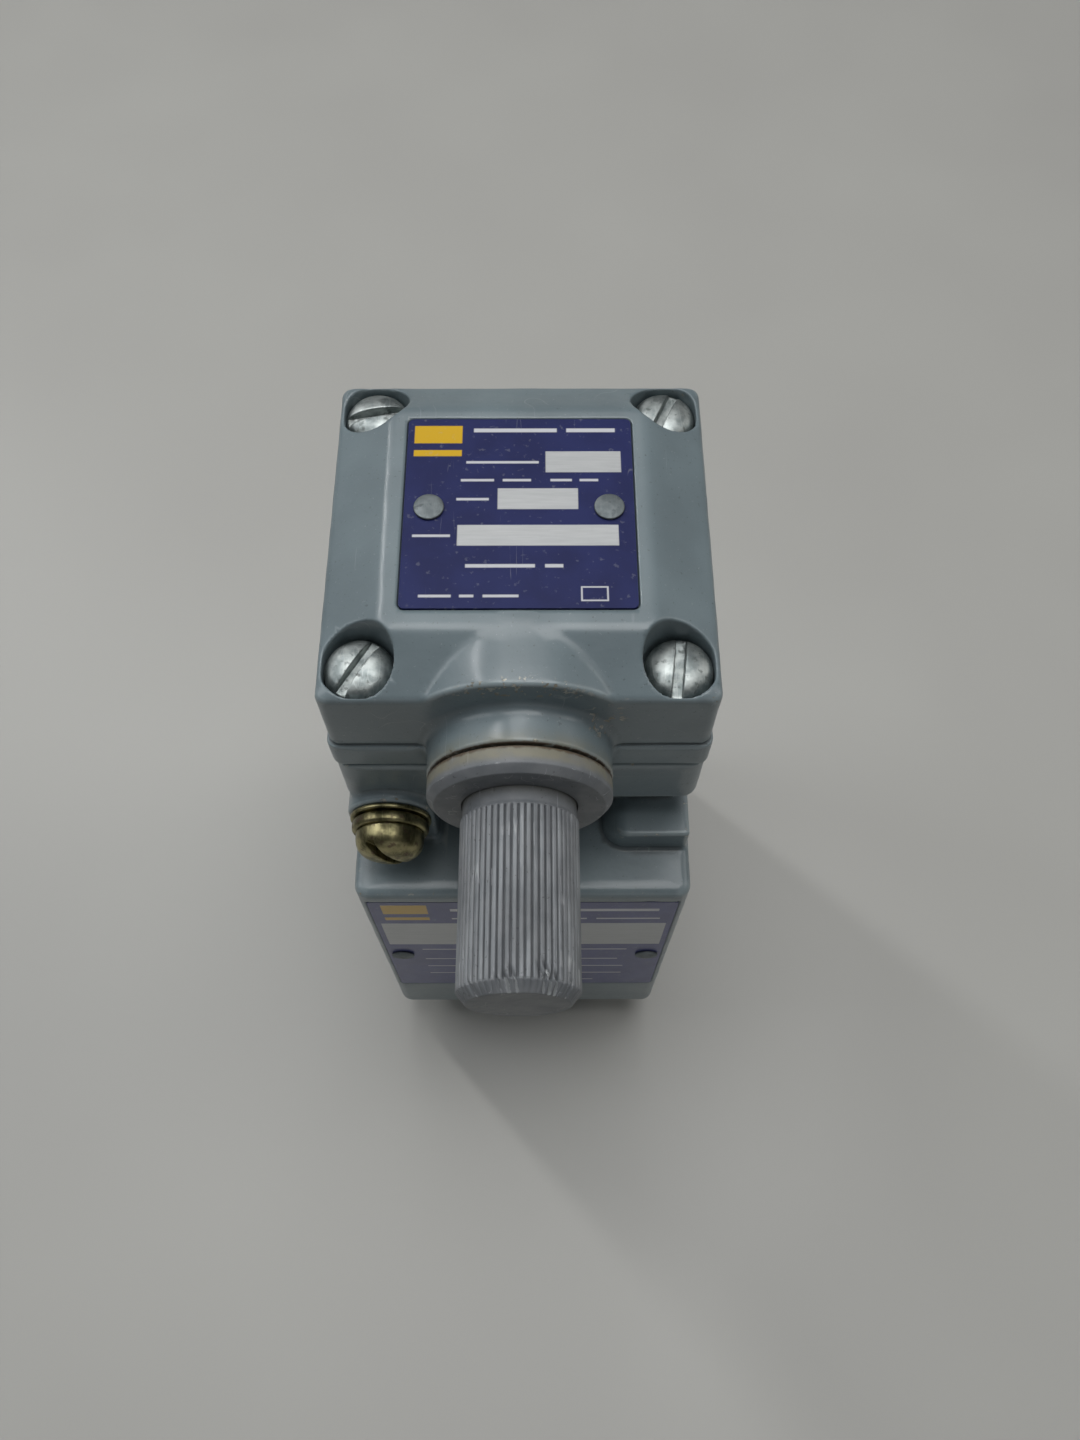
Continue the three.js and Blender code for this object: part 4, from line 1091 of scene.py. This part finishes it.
def coil_spring(name, node, wire, turns, material):
    """A coil spring standing on its lower end."""
    low, high = box_mm(node)
    x, y = (low[:2] + high[:2]) / 2
    radius = (high[0] - low[0]) / 2 - wire
    sides, steps = 12, 40     # round the wire, and in each turn
    share = np.linspace(0, 1, turns * steps + 1)[:, None]
    angle = share * turns * 2 * math.pi
    pitch = (high[2] - low[2] - 2 * wire) / turns
    lead = math.atan2(pitch, 2 * math.pi * radius)
    section = np.arange(sides) / sides * 2 * math.pi
    out = radius + wire * np.cos(section)
    aside = wire * np.sin(section) * math.sin(lead)
    points = np.stack([
        x + out * np.cos(angle) + aside * np.sin(angle),
        y + out * np.sin(angle) - aside * np.cos(angle),
        low[2] + wire + share * turns * pitch + wire * np.sin(section) * math.cos(lead)], axis=-1)
    rows = len(share)
    faces = [list(range(sides)), list(range(rows * sides - 1, (rows - 1) * sides - 1, -1))]
    for i in range(rows - 1):
        for k in range(sides):
            n = (k + 1) % sides
            faces.append([i * sides + k, (i + 1) * sides + k, (i + 1) * sides + n, i * sides + n])
    mesh = bpy.data.meshes.new(name)
    mesh.from_pydata(points.reshape(-1, 3) * MM, [], faces)
    outward_faces(mesh)
    mesh.shade_smooth()
    piece = place_piece(name, mesh, "base", material, node)
    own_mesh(piece)


def inner_pieces():
    steel = plain_material("turned_steel", "8d9093", "a9acae", 0.28, 1.0, 0.3, 0.008)
    brass = plain_material("brass", "9a7d3c", "bd9c58", 0.26, 1.0, 0.3, 0.006)
    bronze = plain_material("sintered_bronze", "7d5a30", "9c7443", 0.42, 1.0, 0.25, 0.02)
    rubber = plain_material("black_rubber", "131313", "1e1e1d", 0.72, 0.0, 0.5, 0.02)
    phenolic = plain_material("moulded_phenolic", "20150f", "2f211a", 0.42, 0.0, 0.9, 0.015)
    nylon = plain_material("moulded_nylon", "cfcbbb", "dedacb", 0.42, 0.0, 1.0, 0.012)
    green = plain_material("green_chromate", "2b6b3f", "39884f", 0.34, 0.6, 0.4, 0.01)
    for material, nodes in (
        (steel, ("operating_cam", "shaft_clip", "head_plunger")),
        (brass, ("contact_bridge", "plug_blade_1", "plug_blade_2", "plug_blade_3", "plug_blade_4",
                 "terminal_screw_1", "terminal_screw_2", "terminal_screw_3", "terminal_screw_4")),
        (bronze, ("shaft_bushing",)),
        (rubber, ("shaft_seal", "head_gasket", "body_gasket")),
        (phenolic, ("contact_block", "terminal_block")),
        (nylon, ("contact_plunger",)),
        (green, ("ground_screw",)),
    ):
        for node in nodes:
            keep_node(node, material, 0.1)
    coil_spring("return_spring_coil", "return_spring", 0.5, 5, steel)
    coil_spring("contact_spring_coil", "contact_spring", 0.35, 6, steel)


# ---- floor, light and camera

def floor():
    reach = 1.2
    mesh = bpy.data.meshes.new("floor")
    corners = [(-reach, -reach, 0), (reach, -reach, 0), (reach, reach, 0), (-reach, reach, 0)]
    mesh.from_pydata(corners, [], [(0, 1, 2, 3)])
    piece = bpy.data.objects.new("floor", mesh)
    bpy.context.collection.objects.link(piece)
    s = Surface("floor_surface")
    s.set("Base Color", s.mix(s.noise(60.0, 2), "abaaa6", "b4b4af"))
    s.set("Roughness", s.blend(s.noise(30.0, 2), 0.4, 0.5))
    mesh.materials.append(s.material)


def soft_light(name, place, target, size, watts, tint=(1, 1, 1)):
    data = bpy.data.lights.new(name, "AREA")
    data.shape = "RECTANGLE"
    data.size, data.size_y = size
    data.energy = watts
    data.color = tint
    light = bpy.data.objects.new(name, data)
    bpy.context.collection.objects.link(light)
    light.location = place
    light.rotation_euler = (Vector(target) - Vector(place)).to_track_quat("-Z", "Y").to_euler()


def studio():
    middle = (0, 0, 0.08)
    soft_light("key_overhead", (0.06, 0.13, 0.95), middle, (0.6, 0.5), 4.2)
    soft_light("far_behind", (-0.05, 0.62, 0.72), middle, (0.4, 0.15), 0.3)
    soft_light("strip_left", (-0.34, 0.34, 0.55), middle, (0.04, 0.4), 0.9)
    soft_light("low_front", (0.15, -0.9, 0.3), (0, 0, 0.04), (0.7, 0.3), 0.45)
    soft_light("top_left", (-0.6, 0.1, 0.6), middle, (0.3, 0.5), 1.2, (0.96, 0.98, 1.0))
    soft_light("right_fill", (0.7, 0.15, 0.5), middle, (0.3, 0.5), 0.9, (1.0, 0.98, 0.95))
    world = bpy.data.worlds.new("studio")
    world.use_nodes = True
    background = world.node_tree.nodes["Background"]
    background.inputs["Color"].default_value = (0.75, 0.78, 0.82, 1)
    background.inputs["Strength"].default_value = 0.075
    bpy.context.scene.world = world
    bpy.context.scene.view_settings.view_transform = "Standard"


SENSOR = 36
FOCAL_SHARE = 1.06806    # focal length over sensor width, fitted to the view as the rest of the camera
CAMERA_PLACE = (1.846, FRONT - 50.358, EDGE_Z + 99.03)
CAMERA_ANGLES = (63.786, 0.261, -0.139)    # pitch, yaw and roll in degrees


def camera():
    """The handheld view: close above the shaft, looking steeply down at the head."""
    pitch, yaw, roll = (math.radians(a) for a in CAMERA_ANGLES)
    ahead = Vector((math.sin(yaw) * math.cos(pitch), math.cos(yaw) * math.cos(pitch), -math.sin(pitch)))
    right = Vector((math.cos(yaw), -math.sin(yaw), 0))
    down = ahead.cross(right)
    right, down = (
        math.cos(roll) * right + math.sin(roll) * down,
        -math.sin(roll) * right + math.cos(roll) * down,
    )
    data = bpy.data.cameras.new("view")
    data.sensor_fit = "HORIZONTAL"
    data.sensor_width = SENSOR
    data.lens = SENSOR * FOCAL_SHARE
    data.clip_start = 0.005
    piece = bpy.data.objects.new("view", data)
    bpy.context.collection.objects.link(piece)
    turn = Matrix((right, -down, -ahead)).transposed().to_4x4()
    piece.matrix_world = Matrix.Translation(Vector(CAMERA_PLACE) * MM) @ turn
    bpy.context.scene.camera = piece


camera()
floor()
studio()
head_housing()
switch_body()
receptacle()
operating_shaft()
head_screws()
captive_screw()
washer("lock_washer_ring", "lock_washer", 0.62, split_ring)
washer("flat_washer_ring", "flat_washer", 0.24)
for side in SIDES:
    rivet(f"head_plate_rivet_{side}", Z)
    rivet(f"body_plate_rivet_{side}", Y)
plates()
inner_pieces()
